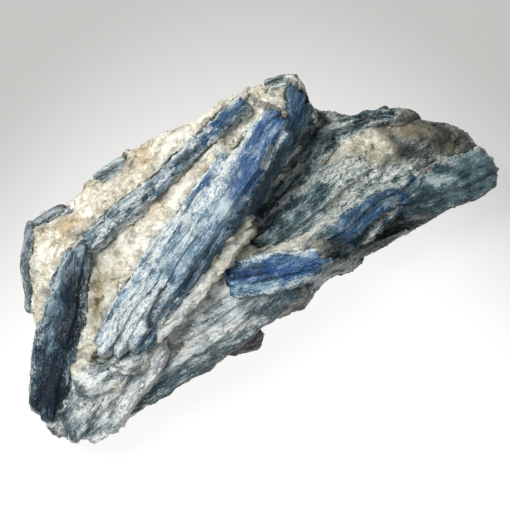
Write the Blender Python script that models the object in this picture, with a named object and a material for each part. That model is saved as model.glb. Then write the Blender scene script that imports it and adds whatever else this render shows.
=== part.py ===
"""Kyanite blades grown through a block of quartz: a loose hand specimen lying on its flat underside.

Every crystal is a lath: a stepped section carried along a straight or slightly bowed line. The quartz
is one block lofted from left to right and banked up to the crystals' edges, and each crystal sits in a
pocket cut to its own shape.
Lengths below are millimetres. +Z is up, and the origin is on the surface that the specimen lies on,
under the middle of its box.
"""
import math

import bmesh
import bpy
import numpy as np

MM = 0.001
GAP = 0.35                # a pocket is this much larger all round than its crystal
STEP_SLOPE = 0.03         # share of a blade's width taken by the slope between two laths
CROWN = 0.5               # how far a crystal's top falls from its middle to its edges
STATION_SPACING = 7.4     # along a crystal
CAP_RINGS = (0.85, 0.45)  # an end closes through rings shrunk to these shares, then a point
ROUND_SHARE = 0.28        # length of a rounded end as a share of the width
SIDE_BULGE = 0.30         # share of the depth at which a crystal is widest
KEEL_START = 0.78         # share of the depth at which its sides turn in to the underside
KEEL_WIDTH = 0.55         # width of the underside as a share of the full width

# A lath is (share of the width, drop below the crest, cut at the foot, cut at the head).
# Roll is in degrees, and a positive roll lifts the right side, seen from foot to head. Bank is how far
# the quartz stands below the crystal at its left, right, foot and head, or None where it stays away.
CRYSTALS = {
    "central_blade": dict(
        foot=(-32.6, -24.2, 22.2), head=(4.4, 31.0, 34.4), bow=(0.4, -0.2, 0.6),
        width=(5.8, 9.5, 7.5), depth=(12.0, 15.0, 12.0), roll=10.0,
        laths=((0.44, 0.0, 0.0, 0.0), (0.34, 0.5, 3.0, 1.0), (0.22, 2.2, 4.0, 2.5)),
        bank=(None, None, 0.2, 0.8)),
    "central_left_lath": dict(
        foot=(-38.0, -22.4, 21.6), head=(-6.5, 22.5, 31.0), bow=(-0.2, 0.2, 0.5),
        width=(4.5, 6.5, 4.5), depth=(10.0, 12.0, 10.0), roll=10.0,
        laths=((0.5, 0.6, 1.5, 0.0), (0.5, 0.0, 0.0, 1.5)),
        bank=(0.5, None, 0.2, 0.3)),
    "shoulder_blade": dict(
        foot=(-3.5, 8.5, 22.5), head=(10.8, 36.3, 31.0), bow=(0.0, 0.0, 0.3),
        width=(4.0, 6.0, 8.5), depth=(9.0, 12.0, 11.0), roll=-26.0,
        laths=((0.55, 0.0, 0.0, 0.0), (0.45, 0.8, 3.0, 2.0)),
        bank=(None, None, 1.5, 0.5)),
    "upper_left_blade": dict(
        foot=(-42.6, 2.0, 20.5), head=(-2.2, 37.2, 28.8), bow=(1.0, -1.0, 0.5),
        width=(7.2, 6.2, 6.0), depth=(8.0, 9.0, 8.0), roll=4.0,
        laths=((0.42, 0.5, 2.0, 1.0), (0.42, 0.0, 0.0, 1.0), (0.16, 1.5, 1.0, 2.0)),
        bank=(-0.1, 1.0, 0.1, 0.1)),
    "left_blade": dict(
        foot=(-48.8, -37.6, 12.0), head=(-40.0, 4.0, 24.0), bow=(-0.9, 0.0, 1.0),
        width=(8.0, 10.5, 5.0), depth=(11.5, 15.0, 12.0), roll=-12.0,
        laths=((0.34, 0.6, 1.0, 2.0), (0.36, 0.0, 0.0, 0.0), (0.30, 0.9, 1.5, 2.5)),
        bank=(0.3, 0.8, None, 0.2)),
    "rim_blade": dict(
        foot=(-53.4, -11.5, 14.0), head=(-53.0, 10.5, 17.0), bow=(-0.8, 0.0, 0.8),
        width=(1.8, 2.6, 2.4), depth=(9.0, 13.0, 9.0), roll=-4.0, laths=((1.0, 0.0, 0.0, 0.0),),
        bank=(None, 0.2, 0.5, 0.5)),
    "corner_blade": dict(
        foot=(-54.0, 7.4, 16.0), head=(-45.5, 12.6, 18.5), bow=(-0.4, 0.4, 0.0),
        width=(2.2, 2.8, 1.8), depth=(8.0, 9.0, 7.0), roll=-10.0, laths=((1.0, 0.0, 0.0, 0.0),),
        bank=(None, 0.2, None, 0.3)),
    "small_top_blade": dict(
        foot=(-39.8, 19.0, 18.5), head=(-30.6, 24.0, 19.5), bow=(0.0, 0.3, 0.0),
        width=(2.4, 3.2, 2.0), depth=(6.0, 7.0, 6.0), roll=8.0,
        laths=((0.5, 0.0, 0.0, 0.5), (0.5, 0.6, 0.8, 0.0)),
        bank=(None, 0.2, 0.2, 0.2)),
    "crown_blade": dict(
        foot=(0.0, 38.4, 28.6), head=(10.0, 39.5, 30.5), bow=(-0.2, 0.5, 0.4),
        width=(2.0, 3.0, 2.6), depth=(8.0, 11.0, 8.0), roll=12.0,
        laths=((0.5, 0.0, 0.0, 1.0), (0.5, 0.7, 1.0, 0.0)),
        bank=(None, 0.6, 0.4, 0.6)),
    "foot_blade": dict(
        foot=(-45.2, -40.6, 9.0), head=(-22.5, -16.5, 20.5), bow=(-0.5, 0.5, 1.0),
        width=(11.5, 15.5, 9.0), depth=(8.5, 14.0, 11.0), roll=-4.0,
        laths=((0.36, 0.7, 1.5, 0.0), (0.34, 0.0, 0.0, 2.0), (0.30, 0.9, 1.5, 0.0)),
        bank=(0.3, 0.4, None, 0.1)),
    "front_lower_blade": dict(
        foot=(-40.8, -35.0, 10.0), head=(12.3, -0.4, 20.2), bow=(0.3, -0.8, 1.8),
        width=(9.2, 12.4, 7.0), depth=(9.5, 13.5, 11.0), roll=-9.0,
        laths=((0.36, 0.0, 3.5, 0.0), (0.34, 0.8, 0.0, 3.0), (0.30, 1.8, 1.0, 4.5)),
        bank=(-0.2, None, None, 0.1)),
    "cobalt_blade": dict(
        foot=(-9.5, -6.0, 21.0), head=(17.0, 0.3, 20.5), bow=(0.0, -0.5, 0.9),
        width=(8.0, 9.5, 5.0), depth=(9.0, 11.0, 9.0), roll=-10.0,
        laths=((0.40, 0.7, 0.5, 2.0), (0.24, 0.0, 0.0, 0.0), (0.36, 0.6, 0.5, 2.5)),
        bank=(0.1, 0.2, 0.2, 0.1)),
    "outer_right_blade": dict(
        foot=(8.0, -1.0, 18.5), head=(38.5, 21.5, 19.5), bow=(0.2, -0.6, 0.8),
        width=(6.5, 10.0, 6.5), depth=(9.0, 11.0, 9.0), roll=-12.0,
        laths=((0.42, 0.0, 0.0, 2.0), (0.30, 1.0, 1.0, 0.0), (0.28, 2.4, 3.0, 4.0)),
        bank=(0.3, None, None, 0.5)),
    "inner_right_blade": dict(
        foot=(-4.0, 1.0, 18.0), head=(26.0, 23.5, 22.5), bow=(0.0, 0.0, 0.8),
        width=(7.5, 11.5, 8.0), depth=(9.0, 11.0, 9.0), roll=-4.0,
        laths=((0.30, 0.8, 0.0, 2.0), (0.40, 0.0, 1.0, 0.0), (0.30, 1.1, 0.0, 2.0)),
        bank=(0.8, 0.3, 0.5, 0.1)),
    "gully_blade": dict(
        foot=(-5.0, 5.5, 16.5), head=(18.0, 32.0, 20.5), bow=(0.5, -0.5, -0.4),
        width=(4.0, 6.5, 5.5), depth=(7.0, 9.0, 8.0), roll=6.0,
        laths=((0.5, 0.9, 0.0, 0.0), (0.5, 0.0, 2.0, 2.5)),
        bank=(None, None, None, 0.5)),
    "ridge_blade": dict(
        foot=(12.0, 30.0, 18.5), head=(33.0, 35.8, 20.5), bow=(0.0, 0.6, 0.6),
        width=(3.2, 4.2, 3.4), depth=(8.0, 9.0, 8.0), roll=8.0,
        laths=((0.5, 0.0, 0.0, 1.5), (0.5, 0.9, 1.5, 0.0)),
        bank=(None, 0.6, 0.5, 0.3)),
    "end_blade": dict(
        foot=(27.5, 13.5, 18.0), head=(57.6, 26.6, 13.0), bow=(0.0, -0.6, 1.6),
        width=(7.5, 12.5, 9.0), depth=(8.0, 10.5, 8.0), roll=-8.0,
        laths=((0.34, 0.4, 0.0, 0.8), (0.36, 0.0, 2.0, 0.0), (0.30, 1.0, 3.0, 1.0)),
        bank=(0.1, None, None, None)),
    "under_blade": dict(
        foot=(16.5, 5.0, 8.5), head=(50.5, 20.5, 9.5), bow=(0.4, -0.9, 0.5),
        width=(4.5, 6.0, 4.0), depth=(6.0, 8.0, 6.5), roll=-20.0,
        laths=((0.5, 0.0, 0.0, 0.0), (0.5, 1.2, 2.0, 3.5)),
        bank=(None, None, None, None)),
}

# Crystals grown together are one solid, which each key names.
GROWN_TOGETHER = {
    "central_blades": ("central_blade", "central_left_lath"),
    "left_rim_blades": ("rim_blade", "corner_blade"),
    "lower_blades": ("foot_blade", "front_lower_blade"),
    "right_blades": ("inner_right_blade", "outer_right_blade", "gully_blade", "ridge_blade", "end_blade"),
}

# The quartz block, from left to right: x, far edge, near edge, top, lowest point of its rounded
# underside (where that is below zero, the resting face cuts it).
BLOCK = (
    (-54.0, 9.0, -7.0, 12.0, 4.5), (-52.0, 12.5, -14.0, 15.5, 2.5), (-46.0, 14.8, -26.0, 17.5, 0.5),
    (-39.0, 21.0, -31.0, 18.5, -1.5), (-31.0, 26.5, -28.5, 20.5, -3.0), (-22.5, 32.3, -23.5, 22.5, -4.0),
    (-14.5, 35.0, -19.0, 23.5, -4.5), (-6.0, 38.5, -14.5, 23.5, -4.5), (1.0, 40.5, -11.5, 21.5, -4.5),
    (8.5, 40.0, -8.0, 18.5, -4.5), (14.0, 37.8, -3.0, 16.5, -4.0), (21.0, 36.0, 2.0, 16.5, -3.5),
    (28.5, 37.5, 7.0, 17.0, -3.0), (36.0, 36.5, 11.0, 17.0, -2.0), (43.0, 35.8, 14.0, 16.0, 0.0),
    (49.0, 34.0, 17.0, 13.0, 2.5), (53.0, 30.0, 20.0, 10.0, 4.5),
)
BLOCK_WAIST = 0.45        # height of the block's widest line, as a share of its top
UPPER_POWER, LOWER_POWER = 3.2, 2.1
BLOCK_LUMPS = 1.5         # height of the block's coarse lumps
BLOCK_LUMP_SIZE = 9.0
LUMPS_FROM = 8.0          # the lumps fade out from this height down to the resting face
BLOCK_RINGS = 30
BLOCK_PLACES = (19, 8)    # points on the upper and on the lower half of a section
BANK_REACH = 3.4          # how far from a crystal the quartz still rises or falls to meet it
BANK_SHARE = 0.85         # how much of the difference in height it makes up
NO_BANK = 99.0            # stands for a side where the quartz stays away
BANK_ORDER = (
    "under_blade", "end_blade", "gully_blade", "ridge_blade", "outer_right_blade", "inner_right_blade",
    "cobalt_blade", "front_lower_blade", "foot_blade", "crown_blade", "small_top_blade", "corner_blade",
    "rim_blade", "left_blade", "upper_left_blade", "shoulder_blade", "central_left_lath", "central_blade",
)

# Knobs and ridges of quartz standing out of the block, and a trough let into it: start, end, rise, radius.
KNOBS = (
    ((-49.0, 0.0), (-48.5, -7.0), 2.0, 6.0),
    ((-28.0, 1.0), (-20.0, 12.0), 2.0, 7.0),
    ((-37.0, 13.0), (-24.0, 24.0), 2.0, 5.0),
    ((-6.0, 32.0), (5.0, 35.5), 9.5, 6.5),
    ((-12.0, 22.0), (-9.0, 27.0), 4.5, 4.5),
    ((24.0, 23.5), (31.0, 26.0), 5.0, 6.5),
    ((37.0, 30.0), (44.0, 27.5), 3.5, 5.5),
    ((1.0, 9.0), (12.0, 25.0), -4.0, 5.5),
)
# Lumps of quartz and mica low on the near edge, each an uneven ball: centre, half sizes.
EDGE_LUMPS = (
    ((-45.5, -33.5, 6.8), (4.2, 4.8, 5.4)),
    ((18.8, 3.8, 6.5), (5.0, 4.5, 5.5)),
    ((-8.0, -15.5, 7.0), (9.0, 4.5, 6.0)),
    ((6.5, -5.0, 8.0), (6.0, 3.6, 5.5)),
)
# The vein of quartz along the right of the central blade, laid like a thin crystal of its own.
VEIN = dict(
    foot=(-26.6, -21.5, 21.3), head=(-1.5, 8.5, 26.0), bow=(0.3, 0.0, 0.4),
    width=(4.5, 6.0, 4.0), depth=(10.5, 13.5, 10.5), roll=-8.0,
    laths=((0.5, 0.0, 0.0, 0.0), (0.5, 0.6, 2.0, 1.5)))

FINISHES = {              # base colour (linear), roughness
    "quartz_matrix": ((0.62, 0.57, 0.48), 0.55),
    "central_blades": ((0.10, 0.22, 0.42), 0.35),
    "shoulder_blade": ((0.05, 0.12, 0.20), 0.38),
    "upper_left_blade": ((0.12, 0.19, 0.32), 0.38),
    "left_blade": ((0.03, 0.06, 0.12), 0.38),
    "left_rim_blades": ((0.09, 0.13, 0.17), 0.42),
    "small_top_blade": ((0.12, 0.17, 0.18), 0.42),
    "crown_blade": ((0.05, 0.09, 0.10), 0.42),
    "lower_blades": ((0.24, 0.30, 0.37), 0.42),
    "cobalt_blade": ((0.04, 0.10, 0.38), 0.32),
    "right_blades": ((0.14, 0.22, 0.29), 0.40),
    "under_blade": ((0.06, 0.08, 0.08), 0.45),
}


def through_three(values, t):
    """Quadratic that passes through the three values at t = 0, 1/2 and 1."""
    first, middle, last = values
    return first * (1 - t) * (1 - 2 * t) + middle * 4 * t * (1 - t) + last * t * (2 * t - 1)


def lath_level(laths, column, side):
    """One lath value (drop or cut) across the blade: level on each lath, sloped where two meet."""
    edges = np.cumsum([0.0] + [lath[0] for lath in laths])
    edges = 2 * edges / edges[-1] - 1
    places, levels = [], []
    for i, lath in enumerate(laths):
        places += [edges[i] + STEP_SLOPE, edges[i + 1] - STEP_SLOPE]
        levels += [lath[column]] * 2
    return np.interp(side, places, levels)


def lath_section(laths):
    """Closed section as (side, height): side from -1 to 1, height 0 at the crest and -1 at the keel.

    Two points mark each lath's edges along the top, then the flank bulges, turns in and meets the keel.
    """
    edges = np.cumsum([0.0] + [lath[0] for lath in laths])
    edges = 2 * edges / edges[-1] - 1
    top = [(edge + turn * STEP_SLOPE, 0.0) for edge in edges[1:-1] for turn in (-1, 1)]
    top = [(-0.94, 0.0)] + top + [(0.94, 0.0)]
    flank = [(1.0, -SIDE_BULGE), (0.9, -KEEL_START), (KEEL_WIDTH, -1.0)]
    other = [(-side, height) for side, height in reversed(flank)]
    return np.array(top + flank + other)


def crystal_frame(crystal):
    """Unit vectors along, across (to the right) and up the crystal, after its roll."""
    along = np.subtract(crystal["head"], crystal["foot"])
    along = along / np.linalg.norm(along)
    across = np.cross(along, (0.0, 0.0, 1.0))
    across /= np.linalg.norm(across)
    up = np.cross(across, along)
    roll = math.radians(crystal["roll"])
    return along, across * math.cos(roll) + up * math.sin(roll), up * math.cos(roll) - across * math.sin(roll)


def crystal_grid(crystal, laths, shrink, t, grow):
    """Points of the section shrunk to a share about its middle, carried to t along the crystal.

    Each point runs from its own lath's foot cut to its head cut, so that the ends are as ragged as the
    laths, and hangs below the crest by its lath's drop and the crown plus its height times the depth
    there. A shrunk section stands further out, on the dome of the end: the dome's length times
    1 - sqrt(1 - share squared) is kept back. The whole is larger by grow on every side.
    """
    foot, head = np.array(crystal["foot"]), np.array(crystal["head"])
    along, across, up = crystal_frame(crystal)
    length = np.linalg.norm(head - foot)
    section = lath_section(laths)
    side, height = section[:, 0] * shrink, (section[:, 1] + 0.5) * shrink
    dome = ROUND_SHARE * crystal["width"][1] * (1 - math.sqrt(1 - shrink ** 2))
    start = lath_level(laths, 2, side) - grow + dome
    finish_at = length - lath_level(laths, 3, side) + grow - dome
    q = (start + t * (finish_at - start)) / length
    depth = through_three(crystal["depth"], q)
    crown = CROWN if grow == 0.0 else 0.0
    drop = (lath_level(laths, 1, side) + crown * side ** 2) * np.clip((height - 0.5) / SIDE_BULGE + 1, 0, 1)
    centre = foot + np.outer(q, head - foot) + np.outer(4 * q * (1 - q), crystal["bow"])
    wide = side * (through_three(crystal["width"], q) / 2 + grow)
    deep = height * (depth + 2 * grow) - depth / 2 - drop
    return centre + np.outer(wide, across) + np.outer(deep, up)


def closed_tube(name, rings, foot_point, head_point):
    """Mesh of rings of equal count joined by quads and closed by a fan to a point at each end."""
    count = len(rings[0])
    vertices = [tuple(point * MM) for ring in rings for point in ring]
    vertices += [tuple(foot_point * MM), tuple(head_point * MM)]
    foot_index, head_index = len(vertices) - 2, len(vertices) - 1
    faces = []
    for i in range(count):
        j = (i + 1) % count
        faces += [(r * count + i, r * count + j, (r + 1) * count + j, (r + 1) * count + i)
                  for r in range(len(rings) - 1)]
        faces.append((foot_index, j, i))
        last = (len(rings) - 1) * count
        faces.append((head_index, last + i, last + j))
    mesh = bpy.data.meshes.new(name)
    mesh.from_pydata(vertices, [], faces)
    shape = bmesh.new()
    shape.from_mesh(mesh)
    bmesh.ops.triangulate(shape, faces=shape.faces)
    bmesh.ops.recalc_face_normals(shape, faces=shape.faces)
    shape.to_mesh(mesh)
    shape.free()
    return mesh


def crystal_mesh(name, crystal, grow=0.0):
    """A lath crystal: the section carried from foot to head, with both broken ends closed.

    With grow it is the pocket that the crystal sits in: one plain flat lath, larger by grow all round.
    """
    laths = crystal["laths"] if grow == 0.0 else ((1.0, 0.0, 0.0, 0.0),)
    length = np.linalg.norm(np.subtract(crystal["head"], crystal["foot"]))
    stations = np.linspace(0, 1, max(3, round(length / STATION_SPACING) + 1))
    rings = [crystal_grid(crystal, laths, share, 0.0, grow) for share in reversed(CAP_RINGS)]
    rings += [crystal_grid(crystal, laths, 1.0, t, grow) for t in stations]
    rings += [crystal_grid(crystal, laths, share, 1.0, grow) for share in CAP_RINGS]
    ends = [crystal_grid(crystal, laths, 0.0, t, grow).mean(axis=0) for t in (0.0, 1.0)]
    return closed_tube(name, rings, *ends)


def lattice_noise(points, cell, seed):
    """Smooth noise from -1 to 1: hashed values at the corners of a cubic lattice, eased between them."""
    scaled = points / cell
    corner = np.floor(scaled).astype(np.int64)
    ease = scaled - corner
    ease = ease * ease * (3 - 2 * ease)
    total = np.zeros(len(points))
    for dx in (0, 1):
        for dy in (0, 1):
            for dz in (0, 1):
                x, y, z = corner[:, 0] + dx, corner[:, 1] + dy, corner[:, 2] + dz
                mixed = (x * 73856093) ^ (y * 19349663) ^ (z * 83492791) ^ (seed * 2654435761)
                mixed = ((mixed ^ (mixed >> 13)) * 1274126177) & 0xFFFFFFFF
                value = (mixed ^ (mixed >> 16)) % 65536 / 32767.5 - 1
                weight = (np.abs(1 - dx - ease[:, 0]) * np.abs(1 - dy - ease[:, 1])
                          * np.abs(1 - dz - ease[:, 2]))
                total += value * weight
    return total


def stretch_distance(points, start, end):
    """Distance in plan from each point to the line between two places."""
    start, end = np.array(start), np.array(end)
    run = end - start
    share = np.clip((points[:, :2] - start) @ run / max(run @ run, 1e-9), 0, 1)
    return np.linalg.norm(points[:, :2] - start - np.outer(share, run), axis=1)


def half_arc(power, turn, count):
    """Places on one half of a superellipse, spaced evenly along it when it is twice as wide as high."""
    angle = np.linspace(0, np.pi, 2001)
    arc = np.column_stack((np.sign(np.cos(angle)) * np.abs(np.cos(angle)) ** (2 / power),
                           turn * np.sin(angle) ** (2 / power)))
    travel = np.concatenate(([0], np.cumsum(np.linalg.norm(np.diff(arc * (2, 1), axis=0), axis=1))))
    places = np.linspace(0, travel[-1], count, endpoint=False)
    return np.column_stack([np.interp(places, travel, arc[:, k]) for k in (0, 1)])


def block_ring(x, shrink):
    """Section of the quartz block at x: half a superellipse above its widest line and half one below."""
    columns = np.array(BLOCK).T
    far, near, top, bottom = (np.interp(x, columns[0], column) for column in columns[1:])
    waist = BLOCK_WAIST * top
    y, z = np.vstack((half_arc(UPPER_POWER, 1, BLOCK_PLACES[0]),
                      half_arc(LOWER_POWER, -1, BLOCK_PLACES[1]) * (-1, 1))).T
    reach = np.where(z > 0, top - waist, waist - bottom)
    return np.column_stack((np.full(len(y), x), (far + near) / 2 + y * shrink * (far - near) / 2,
                            waist + z * reach * shrink))


def smooth_step(value, low, high):
    """0 below low, 1 above high, eased between."""
    share = np.clip((value - low) / (high - low), 0, 1)
    return share * share * (3 - 2 * share)


def banked_height(points, crystal):
    """Height of the quartz drawn towards a crystal's edges beside it, or left where its bank is None."""
    foot, head = np.array(crystal["foot"]), np.array(crystal["head"])
    laths = crystal["laths"]
    run = (head - foot)[:2]
    length = np.linalg.norm(run)
    run /= length
    away = points[:, :2] - foot[:2]
    reach = away @ run
    offset = away @ (run[1], -run[0])
    half = through_three(crystal["width"], np.clip(reach / length, 0, 1)) / 2
    side = np.clip(offset / half, -1, 1)
    beyond = reach - np.clip(reach, lath_level(laths, 2, side), length - lath_level(laths, 3, side))
    share = (reach - beyond) / length
    crest = foot[2] + share * (head[2] - foot[2]) + 4 * share * (1 - share) * crystal["bow"][2]
    edge = (crest + side * half * math.tan(math.radians(crystal["roll"]))
            - lath_level(laths, 1, side) - CROWN * side ** 2)
    outside = np.hypot(np.maximum(np.abs(offset) - half, 0), beyond)
    left, right, toe, top = (NO_BANK if drop is None else drop for drop in crystal["bank"])
    drop = np.where(beyond < 0, toe, np.where(beyond > 0, top, np.where(offset < 0, left, right)))
    level = edge - drop
    upper = smooth_step(points[:, 2], 0.5 * level, 0.8 * level)
    weight = BANK_SHARE * np.exp(-(outside / BANK_REACH) ** 2) * (drop < NO_BANK) * upper
    return points[:, 2] + weight * (level - points[:, 2])


def block_mesh(name):
    """The quartz block: sections from left to right, raised in knobs, roughened by lumps, cut flat below.

    Last it is banked against every crystal in turn, those lowest in the pile first.
    """
    first, last = BLOCK[0][0], BLOCK[-1][0]
    rings = [(first - 1.6, 0.35), (first - 1.0, 0.7)]
    rings += [(x, 1.0) for x in np.linspace(first, last, BLOCK_RINGS)]
    rings += [(last + 1.0, 0.7), (last + 1.6, 0.35)]
    points = [block_ring(x, shrink) for x, shrink in rings]
    ends = [points[0].mean(axis=0), points[-1].mean(axis=0)]
    shaped = []
    for ring in points:
        above = np.clip(ring[:, 2] / 12, 0, 1)
        for start, end, height, radius in KNOBS:
            ring[:, 2] += above * height * np.exp(-(stretch_distance(ring, start, end) / radius) ** 2)
        lumps = np.column_stack([lattice_noise(ring, BLOCK_LUMP_SIZE, seed) for seed in (1, 2, 3)])
        ring += BLOCK_LUMPS * lumps * np.clip(ring[:, 2:] / LUMPS_FROM, 0, 1)
        for crystal in BANK_ORDER:
            ring[:, 2] = banked_height(ring, CRYSTALS[crystal])
        ring[:, 2] = np.maximum(ring[:, 2], 0.0)
        shaped.append(ring)
    return closed_tube(name, shaped, *ends)


def lump_mesh(name, centre, half_sizes):
    """An uneven ball: rings of latitude, roughened by the same coarse lumps as the block."""
    rings = []
    for latitude in np.radians((-60, -25, 10, 45, 72)):
        angle = np.radians(np.arange(0, 360, 36))
        ring = np.column_stack((np.full(10, np.sin(latitude)), np.cos(latitude) * np.cos(angle),
                                np.cos(latitude) * np.sin(angle))) * half_sizes + centre
        ring += 0.8 * np.column_stack([lattice_noise(ring, 4.0, seed) for seed in (4, 5, 6)])
        ring[:, 2] = np.maximum(ring[:, 2], 0.3)
        rings.append(ring)
    left, right = (np.array(centre) + (sign * half_sizes[0], 0, 0) for sign in (-1, 1))
    return closed_tube(name, rings, left, right)


def finish(name):
    """Principled material with the piece's own colour and roughness."""
    colour, roughness = FINISHES[name]
    material = bpy.data.materials.new(name)
    material.use_nodes = True
    shader = material.node_tree.nodes["Principled BSDF"]
    shader.inputs["Base Color"].default_value = (*colour, 1.0)
    shader.inputs["Roughness"].default_value = roughness
    material.diffuse_color = (*colour, 1.0)
    return material


def add(name, mesh):
    """Link a new object that holds the mesh."""
    piece = bpy.data.objects.new(name, mesh)
    bpy.context.scene.collection.objects.link(piece)
    return piece


def guide(name, mesh):
    """A shape that only cuts or joins others."""
    shape = add(name, mesh)
    shape.hide_render = True
    shape.display_type = "WIRE"
    return shape


def combine(piece, other, operation):
    """Boolean of the piece with another shape."""
    step = piece.modifiers.new(other.name, "BOOLEAN")
    step.operation = operation
    step.solver = "EXACT"
    step.object = other


def settle(piece):
    """Apply the modifiers, keep the largest body and drop slivers left beside the pockets."""
    depsgraph = bpy.context.evaluated_depsgraph_get()
    mesh = bpy.data.meshes.new_from_object(piece.evaluated_get(depsgraph))
    piece.modifiers.clear()
    piece.data = mesh
    shape = bmesh.new()
    shape.from_mesh(mesh)
    bmesh.ops.remove_doubles(shape, verts=shape.verts, dist=0.02 * MM)
    bmesh.ops.dissolve_degenerate(shape, edges=shape.edges, dist=0.01 * MM)
    bmesh.ops.triangulate(shape, faces=shape.faces)
    unseen, bodies = set(shape.faces), []
    while unseen:
        front = [unseen.pop()]
        body = list(front)
        while front:
            linked = {face for edge in front.pop().edges for face in edge.link_faces} & unseen
            unseen -= linked
            front += linked
            body += linked
        bodies.append(body)
    keep = set(max(bodies, key=len))
    bmesh.ops.delete(shape, geom=[face for face in shape.faces if face not in keep], context="FACES")
    shape.to_mesh(mesh)
    shape.free()


def boxes_meet(first, second):
    """Whether two meshes' boxes come within a pocket's gap of each other."""
    corners = [np.array([vertex.co for vertex in mesh.vertices]) for mesh in (first, second)]
    low, high = [c.min(axis=0) for c in corners], [c.max(axis=0) for c in corners]
    return np.all(low[0] - 2 * GAP * MM <= high[1]) and np.all(low[1] - 2 * GAP * MM <= high[0])


for leftover in list(bpy.data.objects):
    bpy.data.objects.remove(leftover, do_unlink=True)

joined = [name for names in GROWN_TOGETHER.values() for name in names]
node_members = {name: (name,) for name in CRYSTALS if name not in joined}
node_members.update(GROWN_TOGETHER)
# The front crystals keep their full shape, and the ones behind are cut around them.
ORDER = ("central_blades", "shoulder_blade", "cobalt_blade", "left_blade", "upper_left_blade", "right_blades",
         "lower_blades", "small_top_blade", "crown_blade", "left_rim_blades", "under_blade")

meshes = {name: crystal_mesh(name, crystal) for name, crystal in CRYSTALS.items()}
pockets = {name: guide(name + "_pocket", crystal_mesh(name + "_pocket", crystal, GAP))
           for name, crystal in CRYSTALS.items()}

pieces = []
for position, node in enumerate(ORDER):
    members = node_members[node]
    piece = add(node, meshes[members[0]].copy())
    for member in members[1:]:
        combine(piece, guide(member + "_joined", meshes[member]), "UNION")
    for before in ORDER[:position]:
        for other in node_members[before]:
            if any(boxes_meet(meshes[member], meshes[other]) for member in members):
                combine(piece, pockets[other], "DIFFERENCE")
    pieces.append(piece)

block = add("quartz_matrix", block_mesh("quartz_matrix"))
combine(block, guide("vein", crystal_mesh("vein", VEIN)), "UNION")
for number, (centre, half_sizes) in enumerate(EDGE_LUMPS):
    lump = lump_mesh("edge_lump_%d" % number, centre, half_sizes)
    combine(block, guide(lump.name, lump), "UNION")
for node in ORDER:
    for member in node_members[node]:
        combine(block, pockets[member], "DIFFERENCE")
pieces.append(block)

for piece in pieces:
    settle(piece)
    piece.data.materials.clear()
    piece.data.materials.append(finish(piece.name))
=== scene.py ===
import math

import bpy
import numpy as np
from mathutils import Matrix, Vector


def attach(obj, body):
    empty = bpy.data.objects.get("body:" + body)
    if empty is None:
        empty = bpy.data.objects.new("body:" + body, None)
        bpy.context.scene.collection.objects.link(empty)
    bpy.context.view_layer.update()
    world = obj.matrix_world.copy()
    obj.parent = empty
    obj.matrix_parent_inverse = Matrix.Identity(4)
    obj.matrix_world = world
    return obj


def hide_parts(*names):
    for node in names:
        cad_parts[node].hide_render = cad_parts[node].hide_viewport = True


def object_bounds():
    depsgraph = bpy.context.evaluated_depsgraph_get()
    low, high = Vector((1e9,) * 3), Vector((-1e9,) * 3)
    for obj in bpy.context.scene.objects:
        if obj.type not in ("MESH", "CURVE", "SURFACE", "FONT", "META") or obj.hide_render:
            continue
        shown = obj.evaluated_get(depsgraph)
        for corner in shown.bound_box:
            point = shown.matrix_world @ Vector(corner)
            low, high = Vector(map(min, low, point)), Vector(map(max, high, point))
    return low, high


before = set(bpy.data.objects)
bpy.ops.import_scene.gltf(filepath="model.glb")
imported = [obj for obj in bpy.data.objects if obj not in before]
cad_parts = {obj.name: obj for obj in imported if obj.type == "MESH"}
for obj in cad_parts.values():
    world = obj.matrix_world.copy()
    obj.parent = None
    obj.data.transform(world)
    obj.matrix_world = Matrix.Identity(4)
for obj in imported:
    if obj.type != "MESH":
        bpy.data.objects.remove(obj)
cad_low, cad_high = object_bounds()

# ---------------------------------------------------------------------------------------------------
# Central blades
# The largest kyanite crystal and a shorter lath grown on its left side: cobalt at the heart, grey-blue
# towards the foot, and partly coated by a white skin of quartz. They lie in the middle of the block.
# Lengths are millimetres until a mesh is made.

MM = 0.001
# A lath is (share of the width, drop below the crest, cut at the foot, cut at the head). Roll is in
# degrees. Bank is how far the quartz stands below the blade at its left, right, foot and head, or None
# where it stays away from that side.
CENTRAL_BLADE = dict(
    foot=(-32.6, -24.2, 22.2), head=(4.4, 31.0, 34.4), bow=(0.4, -0.2, 0.6),
    width=(5.8, 9.5, 7.5), depth=(12.0, 15.0, 12.0), roll=10.0,
    laths=((0.44, 0.0, 0.0, 0.0), (0.34, 0.5, 3.0, 1.0), (0.22, 2.2, 4.0, 2.5)), bank=(None, None, 0.2, 0.8))
CENTRAL_LEFT_LATH = dict(
    foot=(-38.0, -22.4, 21.6), head=(-6.5, 22.5, 31.0), bow=(-0.2, 0.2, 0.5),
    width=(4.5, 6.5, 4.5), depth=(10.0, 12.0, 10.0), roll=10.0,
    laths=((0.5, 0.6, 1.5, 0.0), (0.5, 0.0, 0.0, 1.5)), bank=(0.5, None, 0.2, 0.3))
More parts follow.
